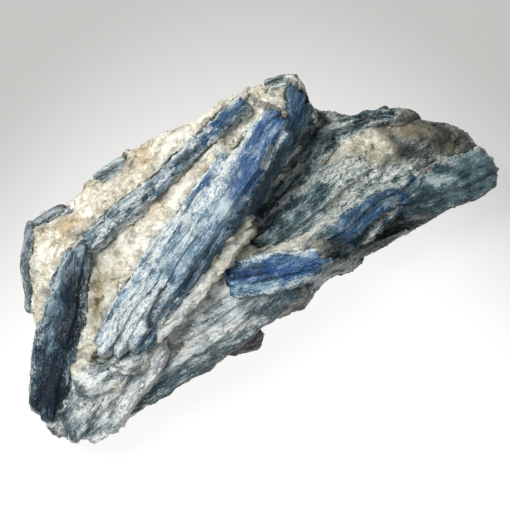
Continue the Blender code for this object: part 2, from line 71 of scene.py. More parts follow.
# Zones of colour are rows of start x, start y, end x, end y, half width and strength, in plan.
# Dark zones are partly the blades' own darker tone and partly painted shade.
CENTRAL_ZONES = dict(
    cobalt=((5, 31, -1, 21.5, 2.8, 1.0), (-1, 21.5, -5.5, 13, 2.5, 1.0),
            (-9.5, 19, -13.5, 12.5, 1.8, 0.9), (-10, 6, -12.5, 1.5, 2.1, 0.45),
            (-15.5, 0, -18.5, -5.5, 1.6, 0.25), (-30.5, -19.5, -33.5, -23, 1.6, 0.2),
            (-3.5, 10.5, -5.5, 8.5, 1.2, 0.5)),
    coat=((-1.5, 29.5, -6.5, 22, 1.4, 1.0), (-6.5, 22, -10.5, 13, 1.5, 0.9), (-11, 13, -17, 6, 2.0, 0.6),
          (-17.5, 10, -23, 0, 1.1, 0.9), (-23, 0, -30, -12, 1.3, 0.8), (-20.5, 2, -25, -4.5, 1.4, 0.15),
          (-22.5, -7.5, -30.5, -15, 1.4, 0.6), (-31.5, -13.5, -38.5, -23, 1.4, 0.9),
          (-27, -14, -37, -23, 4.0, 0.75), (-24, -9, -29, -16, 2.2, 0.7), (2, 21.5, 0, 19, 0.9, 0.8),
          (5, 27.5, 2.5, 21, 0.6, 0.6), (-21, -8.5, -30, -21.5, 1.6, 0.55)),
    pale=((-8, 10.5, -16, 3, 2.3, 0.5), (-16, 5.5, -21.5, -2, 1.4, 0.15), (-4.5, 9.5, -8, 14, 2.0, 0.4),
          (-24, -10, -30, -16, 2.2, 0.6), (-28, -14, -37, -22, 3.0, 0.7)),
    dark=((-21.5, -8.5, -25, -17.5, 0.9, 1.0), (-13.5, -1.5, -17, -8, 1.6, 0.6),
          (-29.5, -19, -33.5, -23.5, 1.3, 0.4), (-9, 22, -6.5, 25, 1.4, 0.7), (7.5, 26, -6, 5, 1.4, 0.8)),
    cracks=((4, 21.5, -2, 12.5, 0.4, 0.8), (-22.5, -9, -25, -16.5, 0.45, 1.0),
            (-2.5, 11.5, -7, 5, 0.4, 0.6)))

STEP_SLOPE = 0.03         # share of a blade's width taken by the slope between two laths
CROWN = 0.5               # how far a blade's top falls from its middle to its edges
ROUND_SHARE = 0.28        # length of a rounded end as a share of the width
TOP_WIDTH = 0.94          # width of the top, as a share of the full width
SIDE_BULGE = 0.30         # share of the depth at which a crystal is widest
KEEL_START = 0.78         # share of the depth at which its sides turn in to the underside
LOWER_WIDTH = 0.90        # width there, and that of the underside, as shares of the full width
KEEL_WIDTH = 0.55
HIDDEN_BELOW = 0.45       # share of the depth below which the points stand wider apart
HIDDEN_SPACING = 3.0
RING_SPACING = 2.2        # how much wider apart than the cell the rings of an end stand
END_SPLINTER, END_WAVE = (2.0, 3.5, 1.0), 4.0   # size of the splinters at a ragged end, and of its waves
END_SHORT, END_HEIGHTS = 0.5, (0.25, 0.4)       # how short they stop, on average and by each of the two
POLE = 0.03               # width of the first ring at a closed end, as a share of the full one

WAVER = 0.6               # how far a smooth noise in space moves every surface, and its size
WAVER_CELL = 6.5
WANDER = ((3.5, 0.8), (1.2, 0.4))   # sizes and strengths of the noises that let a zone wander
BELL = 0.7                # how fast a zone fades
# Kinds of zone: name, how far it wanders, and what it adds to the seed.
KYANITE_KINDS = (("cobalt", 1.0, 50), ("coat", 1.2, 54), ("cracks", 0.6, 58), ("pale", 1.2, 62),
                 ("dark", 1.0, 66), ("calm", 1.0, 90))
HASH_PRIMES = (73856093, 19349663, 83492791, 2654435761, 1274126177)
# How far a grain's site strays from its cell's middle, and how much its height varies, both in cells
SITE_SPREAD, SITE_HEIGHT = 0.38, 0.6

# Sizes along, across and into the blade of its terraces, splinters, flakes, ridges and fine grain, and
# their heights where it is bare. Where it is coated there are terraces, splinters, crust and flakes.
TERRACE, SPLINTER, FLAKE = (9.0, 2.6, 5.0), (5.0, 1.5, 1.5), (2.2, 0.85, 0.85)
RIDGE, FINE = (5.0, 0.5, 0.5), (0.9, 0.36, 0.36)
BARE_HEIGHTS = (0.20, 0.17, 0.14, 0.07, 0.06)
CRUST = 0.8
COATED_HEIGHTS = (0.12, 0.08, 0.24, 0.10)
COAT_RISE = 0.25          # how much prouder a coat stands
NIBBLE, NIBBLE_SIZE = 0.45, 2.4     # how far the edges are nibbled
CRACK_DEPTH = 0.6
RUN_WAVER, RUN_WAVER_CELL = 0.5, 5.0    # how far the splinters run out of line, and over what size
# The border rises between two shares of the half width, unevenly, and this close to the ends.
BORDER, BORDER_NOISE, BORDER_NOISE_SIZE, END_BORDER = (0.3, 0.9), 0.2, 3.0, 3.5
FLANK_DEPTH, FLANK_ENDS = (1.2, 3.2), (1.5, 4.0)    # how deep, and how far from an end, a bare flank gets painted shade
# How strongly quartz has healed onto a flank, how deep it starts, and how much less it is on a bare one
HEALED, HEALED_DEPTH, HEALED_LESS = 0.9, (0.9, 2.0), 0.8
COVER = (0.35, 0.75)      # strengths of the coat between which its grains take over
HOLLOW_SHADE_WEIGHTS = (0.7, 0.3)         # how much the depth and the gap beside a grain count towards the painted shade of hollows
FLAKE_DEPTH, FLAKE_GAP = 0.4, 0.1   # depth that counts in full for that painted shade, and width of the gap
SHARP_ANGLE = math.radians(35)      # facets that meet more sharply keep their edge


def hashed(corner, seed):
    """Value from -1 to 1 for each whole-numbered corner: its three numbers mixed bit by bit."""
    x, y, z = corner[:, 0], corner[:, 1], corner[:, 2]
    prime_x, prime_y, prime_z, prime_seed, prime_mix = HASH_PRIMES
    mixed = (x * prime_x) ^ (y * prime_y) ^ (z * prime_z) ^ (seed * prime_seed)
    mixed = ((mixed ^ (mixed >> 13)) * prime_mix) & 0xFFFFFFFF
    return (mixed ^ (mixed >> 16)) % 65536 / 32767.5 - 1


def hashed_vector(corner, seed):
    """Three hashed values for each corner."""
    return np.column_stack([hashed(corner, seed + k) for k in range(3)])


def lattice_noise(points, cell, seed):
    """Smooth noise from -1 to 1: hashed values at the corners of a lattice, eased between them."""
    scaled = points / cell
    corner = np.floor(scaled).astype(np.int64)
    ease = scaled - corner
    ease = ease * ease * (3 - 2 * ease)
    total = np.zeros(len(points))
    for step in np.ndindex(2, 2, 2):
        weight = np.prod(np.abs(1 - np.array(step) - ease), axis=1)
        total += hashed(corner + step, seed) * weight
    return total


def noise_vector(points, cell, seed):
    """Three smooth noises for each point, one for each axis."""
    return np.column_stack([lattice_noise(points, cell, seed + k) for k in range(3)])


def facets(points, cell, seed, tilt=1.0):
    """Relief of broken grains, from about -1 to 1, and how deep in its grain a point lies.

    One site is hashed into each cell of a lattice. A point takes the height of its nearest site's own
    tilted plane. The second value is the distance to the next nearest site less that to the nearest.
    """
    scaled = points / cell
    corner = np.floor(scaled - 0.5).astype(np.int64)
    nearest = np.full(len(points), np.inf)
    second = nearest.copy()
    height = np.zeros(len(points))
    for step in np.ndindex(2, 2, 2):
        site = corner + step
        random = hashed_vector(site, seed)
        away = scaled - site - 0.5 - SITE_SPREAD * random
        distance = np.linalg.norm(away, axis=1)
        plane = SITE_HEIGHT * random[:, 0] + tilt * np.sum(away * hashed_vector(site, seed + 3), axis=1)
        closer = distance < nearest
        second = np.where(closer, nearest, np.minimum(second, distance))
        height = np.where(closer, plane, height)
        nearest = np.where(closer, distance, nearest)
    return height, second - nearest


def weighted(weights, layers):
    """Sum of the layers, each times its weight."""
    return sum(weight * layer for weight, layer in zip(weights, layers))


def smooth_step(value, low, high):
    """0 below low, 1 above high, eased between."""
    share = np.clip((value - low) / (high - low), 0, 1)
    return share * share * (3 - 2 * share)


def stretch_distance(points, start_x, start_y, end_x, end_y):
    """Distance in plan from each point to the line between two places."""
    start = np.array((start_x, start_y), float)
    run = np.array((end_x, end_y), float) - start
    share = np.clip((points[:, :2] - start) @ run / max(run @ run, 1e-9), 0, 1)
    return np.linalg.norm(points[:, :2] - start - np.outer(share, run), axis=1)


def zone(points, rows, wander, seed):
    """Strength of the nearest soft stretch at each point: a bell round its line, its place let wander."""
    moved = points.copy()
    for axis in (0, 1):
        moved[:, axis] += wander * sum(strength * lattice_noise(points, size, seed + 2 * k + axis)
                                       for k, (size, strength) in enumerate(WANDER))
    strongest = np.zeros(len(points))
    for *line, radius, peak in rows:
        bell = peak * np.exp(-(stretch_distance(moved, *line) / radius) ** 2 * BELL)
        strongest = np.maximum(strongest, bell)
    return strongest


def areas(points, zones, kinds, seed=0):
    """Strength of each kind of zone at each point."""
    rows = dict(zones)
    return {name: zone(points, rows.get(name, ()), wander, seed + shift) for name, wander, shift in kinds}


def through_three(values, t):
    """Quadratic that passes through the three values at t = 0, 1/2 and 1."""
    first, middle, last = values
    return first * (1 - t) * (1 - 2 * t) + middle * 4 * t * (1 - t) + last * t * (2 * t - 1)


def lath_edges(laths):
    """Places of the edges between laths, from -1 to 1 across the blade."""
    edges = np.cumsum([0.0] + [lath[0] for lath in laths])
    return 2 * edges / edges[-1] - 1


def lath_level(laths, column, side):
    """One lath value (drop or cut) across the blade: level on each lath, sloped where two meet."""
    edges = lath_edges(laths)
    places = np.ravel([(edges[i] + STEP_SLOPE, edges[i + 1] - STEP_SLOPE) for i in range(len(laths))])
    return np.interp(side, places, np.repeat([lath[column] for lath in laths], 2))


def lath_section(blade, cell):
    """Closed section as (side, height), side from -1 to 1, height 0 at the crest and -1 at the keel.

    Straight runs between corners: the top, with two points at each lath's edge, then a flank that
    bulges, turns in and meets the keel. Points stand a cell apart, and wider underneath.
    """
    edges = lath_edges(blade["laths"])[1:-1]
    top = [(edge + turn * STEP_SLOPE, 0.0) for edge in edges for turn in (-1, 1)]
    top = [(-TOP_WIDTH, 0.0)] + top + [(TOP_WIDTH, 0.0)]
    flank = [(1.0, -SIDE_BULGE), (LOWER_WIDTH, -KEEL_START), (KEEL_WIDTH, -1.0)]
    corners = np.array(top + flank + [(-side, height) for side, height in reversed(flank)] + top[:1])
    size = (max(blade["width"]) / 2, max(blade["depth"]))
    steps = np.linalg.norm(np.diff(corners, axis=0) * size, axis=1)
    below = (corners[:-1, 1] + corners[1:, 1]) / 2 < -HIDDEN_BELOW
    travel = np.concatenate(([0.0], np.cumsum(np.where(below, 1 / HIDDEN_SPACING, 1.0) * steps)))
    count = int(travel[-1] / cell)
    places = (np.arange(count) + 0.5) / count * travel[-1]
    return np.column_stack([np.interp(places, travel, corners[:, k]) for k in (0, 1)])


def lath_frame(blade):
    """Unit vectors across (to the right) and up the blade, after its roll."""
    along = np.subtract(blade["head"], blade["foot"])
    along = along / np.linalg.norm(along)
    across = np.cross(along, (0.0, 0.0, 1.0))
    across /= np.linalg.norm(across)
    up = np.cross(across, along)
    roll = math.radians(blade["roll"])
    turned = across * math.cos(roll) + up * math.sin(roll)
    return turned, up * math.cos(roll) - across * math.sin(roll)


def lath_grid(blade, cell, ragged, seed):
    """A lath crystal as a grid: its section carried from foot to head, and each point's own place.

    Both ends close through rings that shrink to a pole, like a squashed dome. Splinters, in cells across
    the section, end up to ragged short of the lath's own cut. The place is the distance along, across
    and up. The last grid is the share of the half width, signed to the right.
    """
    foot, head, laths = np.array(blade["foot"]), np.array(blade["head"]), blade["laths"]
    across, up = lath_frame(blade)
    length = np.linalg.norm(head - foot)
    section = lath_section(blade, cell)
    rings = max(4, round(min(blade["width"][1], blade["depth"][1]) / RING_SPACING / cell))
    cap = np.sin(np.linspace(POLE, math.pi / 2, rings, endpoint=False))
    stations = np.linspace(0, 1, max(8, round(length / cell)))
    shrink = np.concatenate((cap, np.ones(len(stations)), cap[::-1]))[:, None]
    t = np.concatenate((0 * cap, stations, 0 * cap + 1))[:, None]
    side = shrink * section[None, :, 0]
    height = shrink * (section[None, :, 1] + 0.5)
    spot = np.column_stack(((side * blade["width"][1] / 2).ravel(), (height * blade["depth"][1]).ravel(),
                            np.zeros(side.size)))
    splinter, wave = END_HEIGHTS
    short = [ragged * (END_SHORT + splinter * np.clip(facets(spot, END_SPLINTER, seed + k, 0.5)[0], -1, 1)
                       + wave * lattice_noise(spot, END_WAVE, seed + k + 6)).reshape(side.shape)
             for k in (60, 70)]
    dome = ROUND_SHARE * blade["width"][1] * (1 - np.sqrt(1 - np.minimum(shrink, 1) ** 2))
    start = lath_level(laths, 2, side) + short[0] + dome
    finish_at = length - lath_level(laths, 3, side) - short[1] - dome
    q = (start + t * (finish_at - start)) / length
    drop = lath_level(laths, 1, side) + CROWN * side ** 2
    drop = drop * np.clip((height - 0.5) / SIDE_BULGE + 1, 0, 1)
    wide = side * through_three(blade["width"], q) / 2
    deep = (height - 0.5) * through_three(blade["depth"], q) - drop
    bow = 4 * q * (1 - q)
    grid = (foot + q[..., None] * (head - foot) + bow[..., None] * np.array(blade["bow"])
            + wide[..., None] * across + deep[..., None] * up)
    return grid, np.dstack((q * length, wide, deep)), side


def grid_normals(grid):
    """Unit normals of a grid whose columns run round it, from the differences between neighbours."""
    around = np.roll(grid, -1, axis=1) - np.roll(grid, 1, axis=1)
    along = np.gradient(grid, axis=0)
    normal = np.cross(along, around)
    return normal / np.maximum(np.linalg.norm(normal, axis=2, keepdims=True), 1e-9)


def raised(grid, height):
    """Points of a grid moved by a height along its normals, then by a smooth noise in space.

    The noise is the same for every piece, so that no line stays straight and the pieces still meet.
    """
    points = grid.reshape(-1, 3) + grid_normals(grid).reshape(-1, 3) * height[:, None]
    return points + WAVER * noise_vector(points, WAVER_CELL, 11)


def painted_hollow_shade(height, depth, edge, gap):
    """Painted shade at each point, from 0 to 1, as far as it lies hollow: deep in the relief, or in the gap
    beside its grain.
    """
    return weighted(HOLLOW_SHADE_WEIGHTS, (np.clip(-height / depth, 0, 1), np.clip(1 - edge / gap, 0, 1)))


def kyanite_skin(blade, cell, seed, zones=(), ragged=1.0, relief=1.0, rind=0.55, shade=0.8):
    """Splintery relief on a lath crystal, and the values that its material reads.

    Its points stand a cell apart, and the seed picks its noises.
    The height is a sum of noises and facets stretched along the blade. A coat of quartz stands a little
    prouder, in grains, the edges and ends are nibbled, and cracks sink in, with painted shade in them. The
    rind is the coat's strength along the edges and ends, where the blade meets the quartz, and the flanks
    are healed over there. Where the quartz stays away the flanks are bare, and painted shade darkens them by
    the amount shade. Hollows in the relief get painted shade as well.
    """
    grid, place, side = lath_grid(blade, cell, ragged, seed)
    points, local, side = grid.reshape(-1, 3), place.reshape(-1, 3), side.ravel()
    local = local + RUN_WAVER * noise_vector(local, RUN_WAVER_CELL, seed + 80)
    area = areas(points, zones, KYANITE_KINDS, seed)
    terrace = lattice_noise(local, TERRACE, seed + 1)
    splinter, _ = facets(local, SPLINTER, seed + 10, 0.8)
    flake, edge = facets(local, FLAKE, seed + 20, 0.9)
    ridge = lattice_noise(local, RIDGE, seed + 30)
    fine = lattice_noise(local, FINE, seed + 31)
    crust, _ = facets(points, CRUST, seed + 40)
    length = np.linalg.norm(np.subtract(blade["head"], blade["foot"]))
    to_end = np.minimum(local[:, 0], length - local[:, 0])
    below = -local[:, 2]
    beside = np.abs(side) + BORDER_NOISE * lattice_noise(points, BORDER_NOISE_SIZE, seed + 96)
    border = np.maximum(smooth_step(beside, *BORDER), 1 - smooth_step(to_end, 0.0, END_BORDER))
    bare_side = np.where(side < 0, blade["bank"][0] is None, blade["bank"][1] is None)
    # painted shade on bare flanks below the crest
    flank = smooth_step(below, *FLANK_DEPTH) * bare_side * smooth_step(to_end, *FLANK_ENDS)
    healed = np.maximum(rind * border, HEALED * smooth_step(below, *HEALED_DEPTH))
    healed *= 1 - HEALED_LESS * bare_side
    coat = np.maximum(area["coat"], healed)
    bare = weighted(BARE_HEIGHTS, (terrace, splinter, flake, ridge, fine))
    coated = weighted(COATED_HEIGHTS, (terrace, splinter, crust, flake)) + COAT_RISE
    nibbled = NIBBLE * border * lattice_noise(points, NIBBLE_SIZE, seed + 95)
    cover = smooth_step(coat, *COVER)
    height = relief * (bare * (1 - cover) + coated * cover + nibbled) - CRACK_DEPTH * area["cracks"]
    moved = raised(grid, height)
    moved[:, 2] = np.maximum(moved[:, 2], 0.0)
    # Tone: pale zones lift it; dark zones, partly the blade's own darker tone and partly painted shade, and
    # the painted shade of bare flanks lower it. The crack and hollow masks are painted shade.
    masks = {"cobalt": area["cobalt"], "coat": coat, "tone": area["pale"] - area["dark"] - shade * flank,
             "crack_shade": area["cracks"], "calm": area["calm"], "place": local,
             "hollow_shade": painted_hollow_shade(height, FLAKE_DEPTH, edge, FLAKE_GAP)}
    return moved.reshape(grid.shape), masks


def tube_faces(rows, columns, first):
    """Quads between the rows of a grid whose columns close on themselves, and a fan to each pole."""
    index = first + np.arange(rows * columns).reshape(rows, columns)
    turned = np.roll(index, -1, axis=1)
    quads = np.dstack((index[:-1], index[1:], turned[1:], turned[:-1])).reshape(-1, 4)
    foot, head = first + rows * columns, first + rows * columns + 1
    fans = np.vstack((np.column_stack((np.full(columns, foot), index[0], turned[0])),
                      np.column_stack((np.full(columns, head), turned[-1], index[-1]))))
    return quads.tolist() + fans.tolist()


def closed_piece(name, skins):
    """One object of closed tubes, kept inside the part's box.

    A skin is a grid of points and the named values at each of them.
    """
    points, faces, columns_of = [], [], {key: [] for key in skins[0][1]}
    count = 0
    for grid, values in skins:
        rows, columns = grid.shape[:2]
        faces += tube_faces(rows, columns, count)
        points += [grid.reshape(-1, 3), grid[0].mean(axis=0)[None], grid[-1].mean(axis=0)[None]]
        for key, array in values.items():
            array = array.reshape(rows * columns, -1)
            columns_of[key] += [array, array[:1], array[-1:]]
        count += rows * columns + 2
    points = np.clip(np.vstack(points), np.array(cad_low) / MM, np.array(cad_high) / MM)
    mesh = bpy.data.meshes.new(name)
    mesh.from_pydata(points * MM, [], faces)
    for key, arrays in columns_of.items():
        array = np.vstack(arrays).astype(np.float32)
        kind, field = ("FLOAT_VECTOR", "vector") if array.shape[1] == 3 else ("FLOAT", "value")
        mesh.attributes.new(key, kind, "POINT").data.foreach_set(field, array.ravel())
    mesh.shade_smooth()
    mesh.set_sharp_from_angle(angle=SHARP_ANGLE)
    piece = bpy.data.objects.new(name, mesh)
    bpy.context.scene.collection.objects.link(piece)
    return piece


def rgb(red, green, blue):
    """Linear colour with full alpha."""
    return (red, green, blue, 1.0)


def set_inputs(target, **values):
    """Values of a node's sockets, named with _ for a space."""
    for title, value in values.items():
        target.inputs[title.replace("_", " ")].default_value = value


class Wiring:
    """Adds nodes to a shader tree and joins them: each call returns the output that the next one takes."""

    def __init__(self, tree):
        self.tree = tree

    def node(self, kind, inputs=(), **settings):
        """A node with its settings, and for each input socket a value or another node's output."""
        made = self.tree.nodes.new("ShaderNode" + kind)
        for key, value in settings.items():
            setattr(made, key, value)
        for key, value in dict(inputs).items():
            if isinstance(value, bpy.types.NodeSocket):
                self.tree.links.new(value, made.inputs[key])
            else:
                made.inputs[key].default_value = value
        return made

    def math(self, operation, first, second=0.0, third=0.0, clamp=False):
        """One step of arithmetic."""
        return self.node("Math", {0: first, 1: second, 2: third}, operation=operation,
                         use_clamp=clamp).outputs[0]

    def times(self, first, second, clamp=False):
        """Product of two values."""
        return self.math("MULTIPLY", first, second, clamp=clamp)

    def plus(self, first, second, third):
        """First times second, plus third."""
        return self.math("MULTIPLY_ADD", first, second, third)

    def swing(self, value, middle=0.5):
        """How far a value stands from its middle."""
        return self.math("SUBTRACT", value, middle)

    def sum(self, first, *others):
        """Sum of values, each given with its weight."""
        total = self.times(*first)
        for value, weight in others:
            total = self.plus(value, weight, total)
        return total

    def vector(self, operation, first, second):
        """One step of vector arithmetic."""
        return self.node("VectorMath", {0: first, 1: second}, operation=operation).outputs

    def step(self, value, low, high):
        """0 below low, 1 above high, eased between."""
        made = self.node("MapRange", {0: value, 1: low, 2: high}, interpolation_type="SMOOTHSTEP")
        return made.outputs[0]

    def mix(self, factor, first, second, blend="MIX"):
        """Colours mixed by a factor."""
        made = self.node("Mix", {0: factor, 6: first, 7: second}, data_type="RGBA", blend_type=blend)
        return made.outputs[2]

    def stain(self, factor, colour, tint):
        """Colour multiplied by a tint as far as the factor says."""
        return self.mix(factor, colour, rgb(*tint), "MULTIPLY")

    def noise(self, place, scale, detail=3.0, roughness=0.6):
        """Noise at a place stretched by a scale for each axis, spread to fill 0 to 1."""
        scaled = self.node("Mapping", {"Vector": place, "Scale": scale}, vector_type="POINT")
        made = self.node("TexNoise", {"Vector": scaled.outputs[0], "Scale": 1.0, "Detail": detail,
                                      "Roughness": roughness})
        return self.step(made.outputs[0], 0.3, 0.7)

    def attribute(self, name, output="Fac"):
        """A value that the mesh carries at its points."""
        return self.node("Attribute", attribute_name=name).outputs[output]

    def group(self, tree, values, **sources):
        """A shader node group with values of its own and with outputs joined to it."""
        made = self.node("Group", node_tree=tree)
        set_inputs(made, **values)
        self.fill(made, **sources)
        return made.outputs

    def fill(self, target, **sources):
        """Joins outputs to the target's sockets, named with _ for a space."""
        for title, source in sources.items():
            self.tree.links.new(source, target.inputs[title.replace("_", " ")])


COLOUR, NUMBER, PLACE = "NodeSocketColor", "NodeSocketFloat", "NodeSocketVector"


def new_group(name, inputs, outputs):
    """A shader node group with named sockets: its wiring, what comes in, and the node that it leaves by."""
    group = bpy.data.node_groups.new(name, "ShaderNodeTree")
    for title, kind in inputs:
        group.interface.new_socket(title, in_out="INPUT", socket_type=kind)
    for title, kind in outputs:
        group.interface.new_socket(title, in_out="OUTPUT", socket_type=kind)
    return Wiring(group), group.nodes.new("NodeGroupInput").outputs, group.nodes.new("NodeGroupOutput")


def flake_group():
    """Broken flakes, one to a cell: Pick and Other are each flake's own random values from 0 to 1.

    Tilt is the height of the flake's own tilted plane, to be used as a bump.
    """
    w, i, leave = new_group("flakes", (("Place", PLACE), ("Scale", PLACE)),
                            (("Pick", NUMBER), ("Other", NUMBER), ("Tilt", NUMBER)))
    scaled = w.vector("MULTIPLY", i["Place"], i["Scale"])[0]
    cells = w.node("TexVoronoi", {"Vector": scaled, "Scale": 1.0}, feature="F1").outputs
    away = w.vector("SUBTRACT", scaled, cells["Position"])[0]
    slope = w.vector("SUBTRACT", cells["Color"], (0.5, 0.5, 0.5))[0]
    tilt = w.vector("DOT_PRODUCT", away, slope)["Value"]
    picks = w.node("SeparateColor", {0: cells["Color"]}).outputs
    w.fill(leave, Pick=picks[0], Other=picks[1], Tilt=tilt)
    return w.tree


FLAKES = flake_group()


# How many streaks, fibres, patches, specks and flakes there are to a millimetre, along a blade and across
STREAK_SCALE, FIBRE_SCALE, PATCH_SCALE = (0.09, 0.8, 0.8), (0.45, 4.2, 4.2), (0.20, 0.36, 0.36)
SPECK_SCALE, LONG_FLAKE_SCALE, SMALL_FLAKE_SCALE = (2.4, 4.2, 4.2), (0.55, 1.7, 1.7), (1.5, 3.2, 3.2)
MIDDLE_TONE = 0.47        # the tone, from dark to light, that Calm draws the others to
# Tints of the painted shade in hollows and in cracks
HOLLOW_SHADE_TINT, CRACK_SHADE_TINT = (0.16, 0.19, 0.22), (0.06, 0.08, 0.09)


def kyanite_streak_group():
    """Fibrous kyanite: streaks, fibres and flakes run between three blues, with white and dark flakes.

    Cobalt and Coat are masks from 0 to 1, and where each ends it breaks up along the streaks. Tone makes
    the streaks paler above 0 and darker below it, and Calm brings them closer to one another. Flecks is
    how strongly white flakes show, partly quartz specks and partly painted glints, and Mottle how strongly
    broad patches vary. The dark flakes are painted shade of gaps.
    """
    w, i, leave = new_group("kyanite_streaks", (
        ("Place", PLACE), ("Dark", COLOUR), ("Body", COLOUR), ("Light", COLOUR), ("Cobalt colour", COLOUR),
        ("Quartz", COLOUR), ("Cobalt", NUMBER), ("Coat", NUMBER), ("Tone", NUMBER), ("Calm", NUMBER),
        ("Flecks", NUMBER), ("Mottle", NUMBER)),
        (("Colour", COLOUR), ("Roughness", NUMBER), ("Height", NUMBER)))
    place = i["Place"]
    streak = w.noise(place, STREAK_SCALE, 5.0, 0.62)
    fibre = w.noise(place, FIBRE_SCALE, 3.0, 0.6)
    patch = w.noise(place, PATCH_SCALE, 3.0, 0.55)
    speck = w.noise(place, SPECK_SCALE, 3.0, 0.75)
    long_flake = w.group(FLAKES, dict(Scale=LONG_FLAKE_SCALE), Place=place)
    small_flake = w.group(FLAKES, dict(Scale=SMALL_FLAKE_SCALE), Place=place)
    tone = w.sum((fibre, 0.24), (streak, 0.28), (speck, 0.24), (long_flake["Pick"], 0.08),
                 (small_flake["Pick"], 0.16), (w.swing(patch), i["Mottle"]))
    spread = w.plus(i["Calm"], -0.6, 1.0)
    tone = w.plus(w.swing(tone, MIDDLE_TONE), spread, MIDDLE_TONE)
    tone = w.plus(i["Tone"], 0.30, tone)
    colour = w.mix(w.step(tone, 0.24, 0.50), i["Dark"], i["Body"])
    colour = w.mix(w.step(tone, 0.48, 0.78), colour, i["Light"])
    # Cobalt, with pale streaks and dark ones in it
    blue = w.math("ADD", i["Cobalt"], w.times(w.swing(streak), 0.5))
    blue = w.step(w.plus(w.swing(patch), 0.3, blue), 0.32, 0.64)
    rich = w.mix(w.times(w.step(tone, 0.54, 0.80), 0.55), i["Cobalt colour"], i["Light"])
    rich = w.mix(w.times(w.step(tone, 0.42, 0.25), 0.6), rich, i["Dark"])
    colour = w.mix(w.times(blue, 0.95), colour, rich)
    # The coat of quartz, in grains that end raggedly
    grain = w.sum((small_flake["Pick"], 0.5), (speck, 0.5))
    ragged = w.sum((speck, 0.30), (fibre, 0.08), (patch, 0.40), (small_flake["Other"], 0.22))
    coat = w.step(w.math("ADD", i["Coat"], ragged), 0.78, 1.22)
    crust = w.mix(w.step(grain, 0.30, 0.60), i["Light"], i["Quartz"])
    crust = w.mix(w.times(w.step(grain, 0.42, 0.22), 0.8), crust, i["Body"])
    colour = w.mix(w.times(coat, 0.85), colour, crust)
    # White flecks, partly quartz specks and partly painted glints, more of them near the coat, and painted
    # shade of gaps where a long flake is missing
    fleck = w.times(w.step(small_flake["Other"], 0.60, 0.70), w.step(speck, 0.58, 0.80))
    fleck = w.times(fleck, w.plus(w.step(i["Coat"], 0.08, 0.5), 0.6, 0.4))
    fleck = w.times(w.times(fleck, spread), i["Flecks"])
    colour = w.mix(fleck, colour, i["Quartz"])
    # Painted shade of a gap where a long flake is missing
    gap = w.times(w.step(long_flake["Other"], 0.90, 0.96), w.step(patch, 0.6, 0.35))
    colour = w.mix(w.times(gap, 0.5), colour, i["Dark"])
    rough = w.plus(speck, 0.3, w.plus(coat, 0.15, 0.26))
    rough = w.plus(w.step(small_flake["Pick"], 0.80, 0.90), -0.2, rough)
    height = w.sum((small_flake["Tilt"], 0.7), (long_flake["Tilt"], 1.2), (fibre, 0.3))
    w.fill(leave, Colour=colour, Roughness=rough, Height=height)
    return w.tree


KYANITE_STREAKS = kyanite_streak_group()


def new_material(name):
    """Material with a plain Principled BSDF, and the wiring to fill it."""
    material = bpy.data.materials.new(name)
    material.use_nodes = True
    return material, Wiring(material.node_tree), material.node_tree.nodes["Principled BSDF"]


def streaks_of(w, colours, flecks, mottle, **sources):
    """The streaks in colours of their own, given by the names of the group's sockets."""
    values = {title: rgb(*colour) for title, colour in colours.items()}
    return w.group(KYANITE_STREAKS, dict(values, Flecks=flecks, Mottle=mottle), **sources)


def kyanite_material(name, dark, body, light, cobalt=(0.015, 0.06, 0.2), quartz=(0.74, 0.76, 0.72),
                     flecks=0.6, mottle=0.3):
    """Kyanite finish in one blade's own blues, with painted shade in its hollows and cracks."""
    material, w, shader = new_material(name)
    colours = dict(Dark=dark, Body=body, Light=light, Cobalt_colour=cobalt, Quartz=quartz)
    streaks = streaks_of(w, colours, flecks, mottle, Place=w.attribute("place", "Vector"),
                         Cobalt=w.attribute("cobalt"), Coat=w.attribute("coat"), Tone=w.attribute("tone"),
                         Calm=w.attribute("calm"))
    # Painted shade in the hollows, then in the cracks
    colour = w.stain(w.times(w.attribute("hollow_shade"), 0.6), streaks["Colour"], HOLLOW_SHADE_TINT)
    colour = w.stain(w.times(w.attribute("crack_shade"), 0.95, clamp=True), colour, CRACK_SHADE_TINT)
    bump = w.node("Bump", {"Height": streaks["Height"], "Strength": 0.8, "Distance": 0.35 * MM})
    w.fill(shader, Base_Color=colour, Roughness=streaks["Roughness"], Normal=bump.outputs[0])
    set_inputs(shader, IOR=1.72, Specular_IOR_Level=0.22)
    return material


def in_place(piece, node, material):
    """A finished piece, on the part's one body, in place of the frame's node."""
    piece.data.materials.append(material)
    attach(piece, "root")
    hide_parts(node)


def kyanite_piece(node, skins, dark, body, light, **finish):
    """One piece from its crystals' skins, in its own blues from dark to light."""
    material = kyanite_material(node, dark, body, light, **finish)
    in_place(closed_piece(node + "_crystal", skins), node, material)


kyanite_piece(
    "central_blades",
    [kyanite_skin(CENTRAL_BLADE, 0.26, 200, CENTRAL_ZONES, ragged=0.5, shade=0.35),
     kyanite_skin(CENTRAL_LEFT_LATH, 0.27, 300, CENTRAL_ZONES, ragged=0.5, rind=0.8)],
    dark=(0.012, 0.050, 0.085), body=(0.120, 0.210, 0.280), light=(0.50, 0.58, 0.60),
    cobalt=(0.009, 0.072, 0.205))

# ---------------------------------------------------------------------------------------------------
# Shoulder blade
# A darker, teal crystal leaning against the right flank of the central blades, blue at its head.

